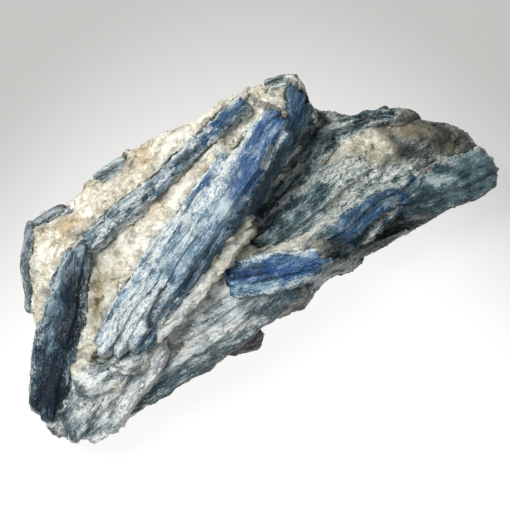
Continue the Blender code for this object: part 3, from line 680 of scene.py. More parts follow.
SHOULDER_BLADE = dict(
    foot=(-3.5, 8.5, 22.5), head=(10.8, 36.3, 31.0), bow=(0.0, 0.0, 0.3),
    width=(4.0, 6.0, 8.5), depth=(9.0, 12.0, 11.0), roll=-26.0,
    laths=((0.55, 0.0, 0.0, 0.0), (0.45, 0.8, 3.0, 2.0)), bank=(None, None, 1.5, 0.5))
SHOULDER_ZONES = dict(
    cobalt=((10, 38, 7, 32, 2.6, 1.0), (5.5, 23, 0, 15, 1.0, 0.4)),
    coat=((0, 15.5, -3.5, 7.5, 0.5, 0.7),),
    dark=((11.5, 34, 6, 24, 1.5, 0.8), (5, 33, 3.5, 30, 1.0, 0.7)))
kyanite_piece("shoulder_blade", [kyanite_skin(SHOULDER_BLADE, 0.28, 400, SHOULDER_ZONES)],
              dark=(0.010, 0.032, 0.042), body=(0.055, 0.125, 0.15), light=(0.25, 0.36, 0.39),
              cobalt=(0.008, 0.060, 0.14), flecks=0.3)

# ---------------------------------------------------------------------------------------------------
# Upper left blade
# A slate-blue crystal that crosses the quartz from the top knob down to the left edge.

UPPER_LEFT_BLADE = dict(
    foot=(-42.6, 2.0, 20.5), head=(-2.2, 37.2, 28.8), bow=(1.0, -1.0, 0.5),
    width=(7.2, 6.2, 6.0), depth=(8.0, 9.0, 8.0), roll=4.0,
    laths=((0.42, 0.5, 2.0, 1.0), (0.42, 0.0, 0.0, 1.0), (0.16, 1.5, 1.0, 2.0)), bank=(-0.1, 1.0, 0.1, 0.1))
UPPER_LEFT_ZONES = dict(
    cobalt=((-5, 35, -9, 31, 1.6, 0.7), (-7.5, 32.5, -13.5, 27, 1.6, 0.8),
            (-14, 27.5, -25.5, 15, 1.6, 0.3)),
    coat=((-6, 35.5, -10.5, 32.5, 0.7, 0.6), (-19.5, 20.5, -25.5, 14, 0.9, 0.55),
          (-32, 9.5, -37.5, 2.5, 1.8, 0.6), (-23, 17.5, -29, 11.5, 0.7, 0.5),
          (-12, 29.5, -15, 25.5, 1.0, 0.6), (-27, 14.5, -31, 11.5, 1.2, 0.6)),
    dark=((-8.5, 30.5, -15, 24, 0.9, 0.7), (-16.5, 24, -20.5, 18.5, 0.7, 0.9),
          (-22, 16, -30, 7, 1.4, 0.6), (-32, 5, -38, 0.5, 1.8, 0.4)))
kyanite_piece("upper_left_blade",
              [kyanite_skin(UPPER_LEFT_BLADE, 0.28, 500, UPPER_LEFT_ZONES, relief=1.4, rind=0.8)],
              dark=(0.010, 0.03, 0.045), body=(0.105, 0.165, 0.205), light=(0.50, 0.56, 0.58),
              cobalt=(0.010, 0.075, 0.18))

# ---------------------------------------------------------------------------------------------------
# Left blade
# The darkest crystal, a navy slab of three laths down the left edge, splintery all over.

LEFT_BLADE = dict(
    foot=(-48.8, -37.6, 12.0), head=(-40.0, 4.0, 24.0), bow=(-0.9, 0.0, 1.0),
    width=(8.0, 10.5, 5.0), depth=(11.5, 15.0, 12.0), roll=-12.0,
    laths=((0.34, 0.6, 1.0, 2.0), (0.36, 0.0, 0.0, 0.0), (0.30, 0.9, 1.5, 2.5)), bank=(0.3, 0.8, None, 0.2))
LEFT_ZONES = dict(
    cobalt=((-42, -7.5, -43.5, -17.5, 2.8, 0.5), (-46.5, -24, -47.5, -31.5, 2.3, 0.6)),
    coat=((-43.5, 1.5, -48.5, -10, 0.7, 0.75), (-40.5, 2, -43.5, -3.5, 1.6, 0.4),
          (-48.5, -10, -52, -23, 0.5, 0.5)),
    pale=((-46, -10, -47.5, -20.5, 1.4, 0.5), (-40, 1, -38.5, -6, 1.6, 0.9),
          (-43, -20.5, -44, -24, 1.6, 0.4), (-43.5, 1.5, -48, -12, 1.6, 1.0)),
    dark=((-40.5, -8.5, -43, -18.5, 3.2, 1.3), (-46, -23, -48, -32, 2.3, 1.0),
          (-43.5, 0, -43, -5.5, 1.4, 0.5)))
kyanite_piece("left_blade", [kyanite_skin(LEFT_BLADE, 0.29, 600, LEFT_ZONES, rind=0.4)],
              dark=(0.001, 0.008, 0.018), body=(0.012, 0.040, 0.062), light=(0.15, 0.23, 0.28),
              cobalt=(0.001, 0.012, 0.034), quartz=(0.50, 0.55, 0.55), flecks=0.25)

# ---------------------------------------------------------------------------------------------------
# Left rim blades
# Two thin grey-teal laths grown together round the upper left corner of the block.

RIM_BLADE = dict(
    foot=(-53.4, -11.5, 14.0), head=(-53.0, 10.5, 17.0), bow=(-0.8, 0.0, 0.8),
    width=(1.8, 2.6, 2.4), depth=(9.0, 13.0, 9.0), roll=-4.0, laths=((1.0, 0.0, 0.0, 0.0),),
    bank=(None, 0.2, 0.5, 0.5))
CORNER_BLADE = dict(
    foot=(-54.0, 7.4, 16.0), head=(-45.5, 12.6, 18.5), bow=(-0.4, 0.4, 0.0),
    width=(2.2, 2.8, 1.8), depth=(8.0, 9.0, 7.0), roll=-10.0, laths=((1.0, 0.0, 0.0, 0.0),),
    bank=(None, 0.2, None, 0.3))
kyanite_piece("left_rim_blades", [kyanite_skin(RIM_BLADE, 0.26, 700, ragged=0.6, relief=0.6),
                                  kyanite_skin(CORNER_BLADE, 0.26, 720, ragged=0.6, relief=0.6)],
              dark=(0.02, 0.032, 0.04), body=(0.10, 0.13, 0.15), light=(0.34, 0.38, 0.40))

# ---------------------------------------------------------------------------------------------------
# Small top blade
# A grey-teal splinter lying on the far left edge of the block.

SMALL_TOP_BLADE = dict(
    foot=(-39.8, 19.0, 18.5), head=(-30.6, 24.0, 19.5), bow=(0.0, 0.3, 0.0),
    width=(2.4, 3.2, 2.0), depth=(6.0, 7.0, 6.0), roll=8.0,
    laths=((0.5, 0.0, 0.0, 0.5), (0.5, 0.6, 0.8, 0.0)), bank=(None, 0.2, 0.2, 0.2))
kyanite_piece("small_top_blade", [kyanite_skin(SMALL_TOP_BLADE, 0.26, 740, ragged=0.8, relief=0.6)],
              dark=(0.05, 0.08, 0.085), body=(0.20, 0.25, 0.26), light=(0.50, 0.55, 0.54))

# ---------------------------------------------------------------------------------------------------
# Crown blade
# The dark rim of kyanite behind the top knob of quartz.

CROWN_BLADE = dict(
    foot=(0.0, 38.4, 28.6), head=(10.0, 39.5, 30.5), bow=(-0.2, 0.5, 0.4),
    width=(2.0, 3.0, 2.6), depth=(8.0, 11.0, 8.0), roll=12.0,
    laths=((0.5, 0.0, 0.0, 1.0), (0.5, 0.7, 1.0, 0.0)), bank=(None, 0.6, 0.4, 0.6))
kyanite_piece("crown_blade", [kyanite_skin(CROWN_BLADE, 0.26, 760, ragged=0.8, relief=0.8, rind=0.9)],
              dark=(0.015, 0.03, 0.035), body=(0.07, 0.11, 0.12), light=(0.26, 0.31, 0.31))

# ---------------------------------------------------------------------------------------------------
# Lower blades
# A wide crystal at the near left corner and a long one along the near edge, grown together. Both are
# grey-blue, half hidden by white quartz that healed onto them.

FOOT_BLADE = dict(
    foot=(-45.2, -40.6, 9.0), head=(-22.5, -16.5, 20.5), bow=(-0.5, 0.5, 1.0),
    width=(11.5, 15.5, 9.0), depth=(8.5, 14.0, 11.0), roll=-4.0,
    laths=((0.36, 0.7, 1.5, 0.0), (0.34, 0.0, 0.0, 2.0), (0.30, 0.9, 1.5, 0.0)), bank=(0.3, 0.4, None, 0.1))
FRONT_LOWER_BLADE = dict(
    foot=(-40.8, -35.0, 10.0), head=(12.3, -0.4, 20.2), bow=(0.3, -0.8, 1.8),
    width=(9.2, 12.4, 7.0), depth=(9.5, 13.5, 11.0), roll=-9.0,
    laths=((0.36, 0.0, 3.5, 0.0), (0.34, 0.8, 0.0, 3.0), (0.30, 1.8, 1.0, 4.5)), bank=(-0.2, None, None, 0.1))
LOWER_ZONES = dict(
    cobalt=((-40, -29.5, -39, -30, 2.1, 0.6), (-43.5, -39, -44.5, -37.5, 1.8, 0.9),
            (-19, -26, -25.5, -30.5, 1.4, 0.8), (-14, -15.5, -21, -20, 1.4, 0.4),
            (9, -7, -0.5, -11.5, 1.2, 0.5)),
    coat=((-37, -25.5, -25.5, -17.5, 3.2, 0.8), (-40, -27, -34, -28, 3.0, 0.9),
          (-40.5, -33.5, -30, -31.5, 3.2, 0.55), (-25.5, -22, -18.5, -19, 2.3, 0.7),
          (-17.5, -19, -2.5, -13.5, 1.8, 0.5), (-34.5, -38, -25.5, -31.5, 1.8, 0.5)),
    pale=((-38, -24.5, -25.5, -19, 2.8, 0.6), (-16.5, -18, -5, -13, 2.1, 0.5)),
    dark=((-25.5, -22, -20, -19, 0.7, 1.0), (-16.5, -25, -8.5, -20.5, 1.4, 0.8),
          (-1.5, -13, 9, -8.5, 1.2, 0.8), (-32.5, -29, -28, -25, 0.9, 0.5)))
kyanite_piece("lower_blades", [kyanite_skin(FOOT_BLADE, 0.31, 800, LOWER_ZONES, relief=1.4),
                               kyanite_skin(FRONT_LOWER_BLADE, 0.31, 820, LOWER_ZONES, relief=1.5)],
              dark=(0.05, 0.08, 0.09), body=(0.26, 0.32, 0.33), light=(0.58, 0.62, 0.61),
              cobalt=(0.03, 0.085, 0.12), quartz=(0.78, 0.76, 0.70), mottle=0.35)

# ---------------------------------------------------------------------------------------------------
# Cobalt blade
# The most saturated crystal, violet-blue, creased along its length, in front of the centre.

COBALT_BLADE = dict(
    foot=(-9.5, -6.0, 21.0), head=(17.0, 0.3, 20.5), bow=(0.0, -0.5, 0.9),
    width=(8.0, 9.5, 5.0), depth=(9.0, 11.0, 9.0), roll=-10.0,
    laths=((0.40, 0.7, 0.5, 2.0), (0.24, 0.0, 0.0, 0.0), (0.36, 0.6, 0.5, 2.5)), bank=(0.1, 0.2, 0.2, 0.1))
COBALT_ZONES = dict(
    cobalt=((-8, -4.5, 5.5, -3.5, 1.6, 0.9), (5.5, -3.5, 10.5, -2, 1.6, 1.4),
            (-0.5, -2, 8.5, -0.5, 1.2, 0.7)),
    coat=((-2.5, 0.5, 10, 1, 0.8, 0.9), (-6.5, -7.5, 2, -8.5, 0.7, 0.4)),
    pale=((-6, -7.5, 3, -7.5, 1.2, 0.8), (-4, -1, 6.5, 0, 0.7, 0.6)),
    dark=((-6.5, -4.5, 0, -3.5, 0.6, 0.9), (8.5, -6.5, 13, -3.5, 0.9, 0.8),
          (-8.5, -6.5, -7.5, -2.5, 0.7, 1.0)),
    cracks=((-8, -5, 1, -4, 0.35, 0.8),))
kyanite_piece("cobalt_blade", [kyanite_skin(COBALT_BLADE, 0.27, 900, COBALT_ZONES)],
              dark=(0.004, 0.024, 0.065), body=(0.055, 0.150, 0.25), light=(0.30, 0.45, 0.54),
              cobalt=(0.003, 0.060, 0.20), flecks=0.4)

# ---------------------------------------------------------------------------------------------------
# Right blades
# Five crystals grown together fan out through the right half: two broad ones in front, one down in the
# gully beside the shoulder, a ridge at the far edge and a broad tip at the right end, worn the smoothest.

OUTER_RIGHT_BLADE = dict(
    foot=(8.0, -1.0, 18.5), head=(38.5, 21.5, 19.5), bow=(0.2, -0.6, 0.8),
    width=(6.5, 10.0, 6.5), depth=(9.0, 11.0, 9.0), roll=-12.0,
    laths=((0.42, 0.0, 0.0, 2.0), (0.30, 1.0, 1.0, 0.0), (0.28, 2.4, 3.0, 4.0)), bank=(0.3, None, None, 0.5))
INNER_RIGHT_BLADE = dict(
    foot=(-4.0, 1.0, 18.0), head=(26.0, 23.5, 22.5), bow=(0.0, 0.0, 0.8),
    width=(7.5, 11.5, 8.0), depth=(9.0, 11.0, 9.0), roll=-4.0,
    laths=((0.30, 0.8, 0.0, 2.0), (0.40, 0.0, 1.0, 0.0), (0.30, 1.1, 0.0, 2.0)), bank=(0.8, 0.3, 0.5, 0.1))
GULLY_BLADE = dict(
    foot=(-5.0, 5.5, 16.5), head=(18.0, 32.0, 20.5), bow=(0.5, -0.5, -0.4),
    width=(4.0, 6.5, 5.5), depth=(7.0, 9.0, 8.0), roll=6.0,
    laths=((0.5, 0.9, 0.0, 0.0), (0.5, 0.0, 2.0, 2.5)), bank=(None, None, None, 0.5))
RIDGE_BLADE = dict(
    foot=(12.0, 30.0, 18.5), head=(33.0, 35.8, 20.5), bow=(0.0, 0.6, 0.6),
    width=(3.2, 4.2, 3.4), depth=(8.0, 9.0, 8.0), roll=8.0,
    laths=((0.5, 0.0, 0.0, 1.5), (0.5, 0.9, 1.5, 0.0)), bank=(None, 0.6, 0.5, 0.3))
END_BLADE = dict(
    foot=(27.5, 13.5, 18.0), head=(57.6, 26.6, 13.0), bow=(0.0, -0.6, 1.6),
    width=(7.5, 12.5, 9.0), depth=(8.0, 10.5, 8.0), roll=-8.0,
    laths=((0.34, 0.4, 0.0, 0.8), (0.36, 0.0, 2.0, 0.0), (0.30, 1.0, 3.0, 1.0)), bank=(0.1, None, None, None))
RIGHT_ZONES = dict(
    cobalt=((31.5, 14.5, 19, 7.5, 2.4, 1.12), (19, 7.5, 15, 4, 1.6, 0.6), (35, 20, 32, 17, 1.2, 0.5),
            (-1.5, 8, 3, 6.5, 1.8, 0.3)),
    coat=((20.5, 15.5, 16, 11, 1.6, 0.9), (32.5, 18.5, 21, 14.5, 1.0, 0.7), (0.5, 2, 5.5, 2.5, 1.2, 0.7),
          (5.5, 3, 9.5, 4.5, 0.7, 0.5), (9, 4.5, 15.5, 9.5, 1.2, 0.8), (16.5, -2, 31.5, 12.5, 0.6, 0.6),
          (18, 21, 26.5, 25, 4.5, 1.1), (26.5, 25, 32, 24, 3.0, 1.0), (5.5, 19.5, 9, 22.5, 0.9, 0.7),
          (9, 22.5, 10.5, 19, 0.7, 0.6), (14, 31.5, 29, 35, 0.8, 0.55)),
    pale=((19.5, 21, 26.5, 26.5, 2.8, 0.4), (36, 17, 46, 20.5, 0.9, 0.7), (41, 21.5, 50, 24.5, 1.2, 0.5),
          (18, 11.5, 13.5, 7.5, 1.2, 0.5)),
    dark=((-5, 5.5, 3, 11.5, 2.1, 1.0), (3, 13, 9, 16.5, 1.6, 0.8), (0, 2.5, -2.5, 4.5, 1.2, 1.0),
          (9, 10.5, 13, 14, 1.2, 0.7), (13.5, 24, 19.5, 29, 1.4, 0.8), (15.5, 2, 20.5, 5.5, 1.2, 0.8),
          (30.5, 10.5, 39, 13, 1.4, 0.8), (12, 31.5, 14, 26.5, 1.6, 0.7), (36, 23.5, 47, 22, 1.4, 0.9),
          (37, 14.5, 49, 15, 1.6, 0.9), (36, 18, 54, 22, 6.0, 0.35), (35.5, 16.5, 45, 16, 0.7, 0.6),
          (24, 34.5, 34, 36.5, 2.5, 0.9)),
    calm=((50, 22.5, 58, 27, 6.0, 0.8),))
RIGHT_CRYSTALS = ((INNER_RIGHT_BLADE, 1.7), (OUTER_RIGHT_BLADE, 1.5), (GULLY_BLADE, 1.7),
                  (RIDGE_BLADE, 1.5), (END_BLADE, 0.9))    # each with its relief
kyanite_piece("right_blades", [kyanite_skin(blade, 0.29, 1000 + 100 * k, RIGHT_ZONES, relief=relief)
                               for k, (blade, relief) in enumerate(RIGHT_CRYSTALS)],
              dark=(0.006, 0.026, 0.032), body=(0.07, 0.13, 0.145), light=(0.38, 0.45, 0.44),
              cobalt=(0.002, 0.06, 0.16), quartz=(0.58, 0.58, 0.51), flecks=0.5, mottle=0.45)

# ---------------------------------------------------------------------------------------------------
# Under blade
# A dark green-brown crystal low under the right half, seen along the near edge.

UNDER_BLADE = dict(
    foot=(16.5, 5.0, 8.5), head=(50.5, 20.5, 9.5), bow=(0.4, -0.9, 0.5),
    width=(4.5, 6.0, 4.0), depth=(6.0, 8.0, 6.5), roll=-20.0,
    laths=((0.5, 0.0, 0.0, 0.0), (0.5, 1.2, 2.0, 3.5)), bank=(None, None, None, None))
kyanite_piece("under_blade", [kyanite_skin(UNDER_BLADE, 0.32, 1600)],
              dark=(0.012, 0.02, 0.02), body=(0.06, 0.08, 0.075), light=(0.25, 0.28, 0.26))

# ---------------------------------------------------------------------------------------------------
# Quartz block
# Massive milky quartz, one natural piece: the blades grew through it, and it broke along its grains.
# Cream where it is clean, tan where iron has stained it, grey-brown and fibrous towards the right end.

BLOCK_CELL = 0.36         # spacing of the sections along the block
BLOCK_PLACES = (182, 46)  # points on the upper and on the lower half of a section
BLOCK = (                 # x, far edge, near edge, top, lowest point of the rounded underside
    (-54.0, 9.0, -7.0, 12.0, 4.5), (-52.0, 12.5, -14.0, 15.5, 2.5), (-46.0, 14.8, -26.0, 17.5, 0.5),
    (-39.0, 21.0, -31.0, 18.5, -1.5), (-31.0, 26.5, -28.5, 20.5, -3.0), (-22.5, 32.3, -23.5, 22.5, -4.0),
    (-14.5, 35.0, -19.0, 23.5, -4.5), (-6.0, 38.5, -14.5, 23.5, -4.5), (1.0, 40.5, -11.5, 21.5, -4.5),
    (8.5, 40.0, -8.0, 18.5, -4.5), (14.0, 37.8, -3.0, 16.5, -4.0), (21.0, 36.0, 2.0, 16.5, -3.5),
    (28.5, 37.5, 7.0, 17.0, -3.0), (36.0, 36.5, 11.0, 17.0, -2.0), (43.0, 35.8, 14.0, 16.0, 0.0),
    (49.0, 34.0, 17.0, 13.0, 2.5), (53.0, 30.0, 20.0, 10.0, 4.5),
)
BLOCK_WAIST = 0.45        # height of the block's widest line, as a share of its top
UPPER_POWER, LOWER_POWER = 3.2, 2.1
SECTION_STEPS = 2001      # steps in which a section's length is measured
END_RINGS, END_BULGE = 16, 1.6      # rings that close each end, and how far it bulges
BLOCK_LUMPS = 1.5         # height of the coarse lumps
BLOCK_LUMP_SIZE = 9.0
LUMPS_FROM = 8.0          # the lumps fade out from this height down to the resting face
KNOBS_FROM = 12.0         # and the knobs from this one
BANK_REACH = 3.4          # how far from a blade the quartz still rises or falls to meet it
BANK_SHARE = 0.9          # how much of the difference in height it makes up
BANK_NOISE = 0.5          # how unevenly it meets them, and over what size
BANK_NOISE_SIZE = 2.6
BANK_HEIGHTS = (0.5, 0.8)     # heights between which it starts to, as shares of the level that it meets
NO_BANK = 99.0            # stands in for None in a blade's bank
BED_DEPTH = 3.0           # how far below a blade's crest the quartz under it lies
BED_WIDTH = 0.88          # width of that bed, as a share of the blade's
BED_RIM, BED_ENDS = (0.0, 0.9), (1.0, 3.0)      # how far in from its sides and its ends it sinks
KIN_REACH = 1.6           # how far from a blade the quartz is still fibrous
# Start, end, rise and radius of each knob, then centre and half sizes of each lump
KNOBS = ((-49.0, 0.0, -48.5, -7.0, 2.0, 6.0), (-28.0, 1.0, -20.0, 12.0, 2.0, 7.0),
         (-37.0, 13.0, -24.0, 24.0, 2.0, 5.0), (-6.0, 32.0, 5.0, 35.5, 9.5, 6.5),
         (-12.0, 22.0, -9.0, 27.0, 4.5, 4.5), (24.0, 23.5, 31.0, 26.0, 5.0, 6.5),
         (37.0, 30.0, 44.0, 27.5, 3.5, 5.5), (1.0, 9.0, 12.0, 25.0, -4.0, 5.5))
EDGE_LUMPS = (            # centre, half sizes
    ((-45.5, -33.5, 6.8), (4.2, 4.8, 5.4)),
    ((18.8, 3.8, 6.5), (5.0, 4.5, 5.5)),
    ((-8.0, -15.5, 7.0), (9.0, 4.5, 6.0)),
    ((6.5, -5.0, 8.0), (6.0, 3.6, 5.5)),
)
HEALED_LUMPS = (          # small masses that heal the ridge's head and the feet of the central blades
    ((31.8, 34.2, 17.8), (6.0, 2.4, 2.4)),
    ((-36.5, -26.4, 15.0), (6.5, 5.2, 3.4)),
    ((-30.0, -23.6, 16.2), (5.0, 3.4, 3.2)),
)
LUMP_RINGS, LUMP_POINTS = 36, 56
LUMP_NOISE = (0.8, 4.0, 4)          # height, size and seed of what makes a lump uneven
# The vein of quartz beside the central blades is laid like a thin crystal of its own.
VEIN_CELL, VEIN_NOISES = 0.34, ((0.9, 3.6, 7), (0.4, 1.6, 14))
VEIN = dict(
    foot=(-26.6, -21.5, 21.3), head=(-1.5, 8.5, 26.0), bow=(0.3, 0.0, 0.4),
    width=(4.5, 6.0, 4.0), depth=(10.5, 13.5, 10.5), roll=-8.0,
    laths=((0.5, 0.0, 0.0, 0.0), (0.5, 0.6, 2.0, 1.5)))
QUARTZ_ZONES = dict(
    tan=((-46, 8.5, -41.5, 7.5, 2.1, 1.0), (-28, 25.5, -27, 22.5, 1.4, 0.9),
         (-36, 20, -31, 21.5, 1.8, 0.5), (-37.5, -5.5, -37.5, -11, 1.6, 1.0),
         (-24.5, 12, -25.5, 10, 0.9, 0.5), (-9, 0, -11, -2.5, 1.2, 0.5)),
    olive=((-34, 1, -32, -6, 2.6, 0.3), (-41, 4.5, -33, 2, 1.6, 0.8), (-38, 2, -37, -14, 2.2, 0.9),
           (-8.5, 26, -5.5, 30.5, 2.1, 0.9), (-1.5, 38.5, 5.5, 37, 3.2, 0.3),
           (-5, 8, -1.5, 12.5, 1.8, 0.6), (-39, -21.5, -41.5, -30.5, 0.9, 0.2),
           (-1, 8, -13, -5, 2.2, 0.8), (20, 23, 31, 26, 5.0, 0.45)),
    brown=((36, 33, 47, 29, 5.0, 1.3), (38, 24.5, 45, 23.5, 2.8, 0.9), (28, 33, 34, 26, 2.8, 0.9),
           (14, 2, 24, 5, 3.0, 1.0), (-17, -23, 11, -13, 4.5, 1.3)),
    fibrous=((14, 16, 50, 28, 10.0, 0.8), (-51, 10.5, -45, 12, 1.2, 0.8), (0, 42.5, 9, 43, 1.4, 0.8),
             (8, 30, 22, 34, 4.0, 0.8), (0, 12, 14, 30, 4.0, 0.8), (-22, -18, 8, -3, 5.0, 0.9),
             (-48, -30, -43, -38, 4.0, 1.0), (-41, -30, -29, -23.5, 3.5, 0.9),
             (-12, -20, 2, -15, 3.5, 1.0), (26, 34.5, 35, 35, 3.0, 1.0)),
    clean=((18.5, 22, 26.5, 26, 5.0, 1.2), (26.5, 27, 32, 24, 3.5, 1.0), (5.5, 19.5, 9, 22.5, 1.2, 0.7),
           (33, 31, 44, 27, 5.0, 0.8)),
    pale=((-3, 6, -14, -7, 2.2, 0.6), (-14, -7, -23, -19, 2.4, 1.2), (-18, -17, -4, -10, 3.5, 0.9),
          (-27, -21, -20, -24, 2.5, 0.9), (-5, 1, 8, 3, 1.4, 0.5), (9, 4, 15, 9, 1.4, 0.6),
          (22, 17, 34, 22, 3.0, 0.5), (10, 24, 18, 28, 2.0, 0.5), (10, 35, 15, 32, 2.0, 0.5),
          (-28, 3, -22, -4, 2.0, 0.4), (-12, -9, -16, -14, 2.2, 0.7), (-39, -27, -28, -22, 3.0, 0.35)),
    dark=((-1, 7, 6, 13, 3.5, 0.9), (12, 33, 16, 28, 2.5, 0.4), (20, 36, 30, 37, 1.6, 0.7),
          (-8, 4, -16, -8, 0.9, 0.9), (-9, -17, 11, -8, 2.2, 0.9), (-12, -19, 1, -15.5, 3.0, 1.0),
          (18, 2, 30, 8, 2.5, 0.8), (30, 30, 50, 27, 4.0, 0.3), (8, 35, 12, 30, 2.0, 0.4),
          (-36, 5, -37, -5, 1.2, 0.5)))
QUARTZ_KINDS = (("clean", 1.0, 20), ("fibrous", 1.0, 24), ("tan", 1.6, 28), ("olive", 1.4, 32),
                ("brown", 1.6, 36), ("pale", 1.4, 42), ("dark", 1.4, 46))
# Sizes and seeds of coarse, middle, fine and crumb facets, and their heights; then those of the long ones,
# and the heights of coarse, long coarse, long fine and crumb facets where the quartz is fibrous
GRAINS, GRAIN_HEIGHTS = ((4.2, 101), (1.9, 111), (0.95, 121), (0.55, 127)), (0.36, 0.34, 0.20, 0.10)
LONG_GRAINS = (((9.0, 1.9, 1.9), 131), ((3.5, 0.8, 0.8), 141))
FIBRE_HEIGHTS = (0.20, 0.40, 0.24, 0.06)
GRAIN_DEPTH, GRAIN_GAP = 0.55, 0.12     # depth that counts in full for the painted shade of hollows, and width of the gap
FIBRE_RUN = (0.80, 0.55)  # the way that the fibres run, in plan
# The block turns fibrous between two places along it, as far as a share, and they drift by noises, each
# with its strength, size and seed.
FIBROUS_FROM, FIBROUS_SHARE, DRIFTS = (2.0, 20.0), 0.55, ((7.0, 8.0, 18), (3.0, 3.0, 19))
SETTLED = 1.5             # height at which the relief starts to fade, down to the resting face
ALL_BLADES = (UNDER_BLADE, END_BLADE, GULLY_BLADE, RIDGE_BLADE, OUTER_RIGHT_BLADE, INNER_RIGHT_BLADE,
              COBALT_BLADE, FRONT_LOWER_BLADE, FOOT_BLADE, CROWN_BLADE, SMALL_TOP_BLADE, CORNER_BLADE,
              RIM_BLADE, LEFT_BLADE, UPPER_LEFT_BLADE, SHOULDER_BLADE, CENTRAL_LEFT_LATH, CENTRAL_BLADE)


def met_height(points, blade):
    """Height of the quartz once it has met a blade: drawn to its edges beside it, and let down under it.

    The blade's line bows, and each lath has its own cuts and drop, which the edge follows. The height is
    drawn by a bell of the distance in plan from each point to the blade, which is returned too.
    """
    foot, head = np.array(blade["foot"]), np.array(blade["head"])
    run = (head - foot)[:2]
    length = np.linalg.norm(run)
    run /= length
    rightward = (run[1], -run[0])
    away = points[:, :2] - foot[:2]
    reach = away @ run
    share = np.clip(reach / length, 0, 1)
    offset = away @ rightward - 4 * share * (1 - share) * np.dot(blade["bow"][:2], rightward)
    half = through_three(blade["width"], share) / 2
    side = np.clip(offset / half, -1, 1)
    start = lath_level(blade["laths"], 2, side)
    finish_at = length - lath_level(blade["laths"], 3, side)
    beyond = reach - np.clip(reach, start, finish_at)
    share = (reach - beyond) / length
    crest = foot[2] + share * (head[2] - foot[2]) + 4 * share * (1 - share) * blade["bow"][2]
    edge = (crest + side * half * math.tan(math.radians(blade["roll"]))
            - lath_level(blade["laths"], 1, side) - CROWN * side ** 2)
    outside = np.hypot(np.maximum(np.abs(offset) - half, 0), beyond)
    left, right, toe, top = (NO_BANK if drop is None else drop for drop in blade["bank"])
    drop = np.where(beyond < 0, toe, np.where(beyond > 0, top, np.where(offset < 0, left, right)))
    height = points[:, 2]
    level = edge - drop + BANK_NOISE * lattice_noise(points, BANK_NOISE_SIZE, 17)
    upper = smooth_step(height, BANK_HEIGHTS[0] * level, BANK_HEIGHTS[1] * level)
    weight = BANK_SHARE * np.exp(-(outside / BANK_REACH) ** 2) * (drop < NO_BANK) * upper
    met = height + weight * (level - height)
    under = (smooth_step(BED_WIDTH * half - np.abs(offset), *BED_RIM)
             * smooth_step(np.minimum(reach - start, finish_at - reach), *BED_ENDS))
    return met + under * (np.minimum(met, edge - BED_DEPTH) - met), outside


def half_section(turn, power, count):
    """Upper or lower half of a superellipse, at places that stand evenly along a half twice as wide."""
    angle = np.linspace(0, np.pi, SECTION_STEPS)
    arc = np.column_stack((np.sign(np.cos(angle)) * np.abs(np.cos(angle)) ** (2 / power),
                           turn * np.sin(angle) ** (2 / power)))
    travel = np.concatenate(([0], np.cumsum(np.linalg.norm(np.diff(arc * (2, 1), axis=0), axis=1))))
    places = np.linspace(0, travel[-1], count, endpoint=False)
    return np.column_stack([np.interp(places, travel, arc[:, k]) for k in (0, 1)])


def block_grid():
    """The block: superellipse sections from left to right, raised in knobs, banked against the blades.

    Also how close each point lies to kyanite, from 0 to 1.
    """
    columns = np.array(BLOCK).T
    first, last = BLOCK[0][0], BLOCK[-1][0]
    cap = np.linspace(POLE, 1, END_RINGS, endpoint=False)
    bulge = END_BULGE * np.sqrt(1 - cap ** 2)
    x = np.concatenate((first - bulge, np.arange(first, last, BLOCK_CELL), (last + bulge)[::-1]))
    shrink = np.concatenate((cap, np.ones(len(x) - 2 * len(cap)), cap[::-1]))[:, None]
    far, near, top, bottom = (np.interp(x, columns[0], column)[:, None] for column in columns[1:])
    waist = BLOCK_WAIST * top
    upper = half_section(1, UPPER_POWER, BLOCK_PLACES[0])
    lower = half_section(-1, LOWER_POWER, BLOCK_PLACES[1]) * (-1, 1)
    y, z = np.vstack((upper, lower)).T
    grid = np.dstack((np.broadcast_to(x[:, None], (len(x), len(y))),
                      (far + near) / 2 + y * shrink * (far - near) / 2,
                      waist + z * shrink * np.where(z > 0, top - waist, waist - bottom)))
    points = grid.reshape(-1, 3).copy()
    above = np.clip(points[:, 2] / KNOBS_FROM, 0, 1)
    for *line, height, radius in KNOBS:
        points[:, 2] += above * height * np.exp(-(stretch_distance(points, *line) / radius) ** 2)
    lumps = noise_vector(points, BLOCK_LUMP_SIZE, 1)
    points += BLOCK_LUMPS * lumps * np.clip(points[:, 2:] / LUMPS_FROM, 0, 1)
    kin = np.zeros(len(points))
    for blade in ALL_BLADES:
        points[:, 2], outside = met_height(points, blade)
        kin = np.maximum(kin, np.exp(-(outside / KIN_REACH) ** 2))
    return points.reshape(grid.shape), kin


def lumpy(grid, *noises):
    """A grid moved by noises, each given as its height, size and seed."""
    points = grid.reshape(-1, 3)
    moves = sum(height * noise_vector(points, size, seed) for height, size, seed in noises)
    return (points + moves).reshape(grid.shape)


def lump_grid(centre, half_sizes):
    """An uneven ball: rings of latitude about X, roughened by coarse lumps."""
    latitude = np.linspace(-math.pi / 2, math.pi / 2, LUMP_RINGS)[1:-1, None]
    angle = np.linspace(0, 2 * math.pi, LUMP_POINTS, endpoint=False)[None]
    ball = np.dstack((np.sin(latitude) + 0 * angle, np.cos(latitude) * np.cos(angle),
                      np.cos(latitude) * np.sin(angle)))
    return lumpy(ball * half_sizes + centre, LUMP_NOISE)


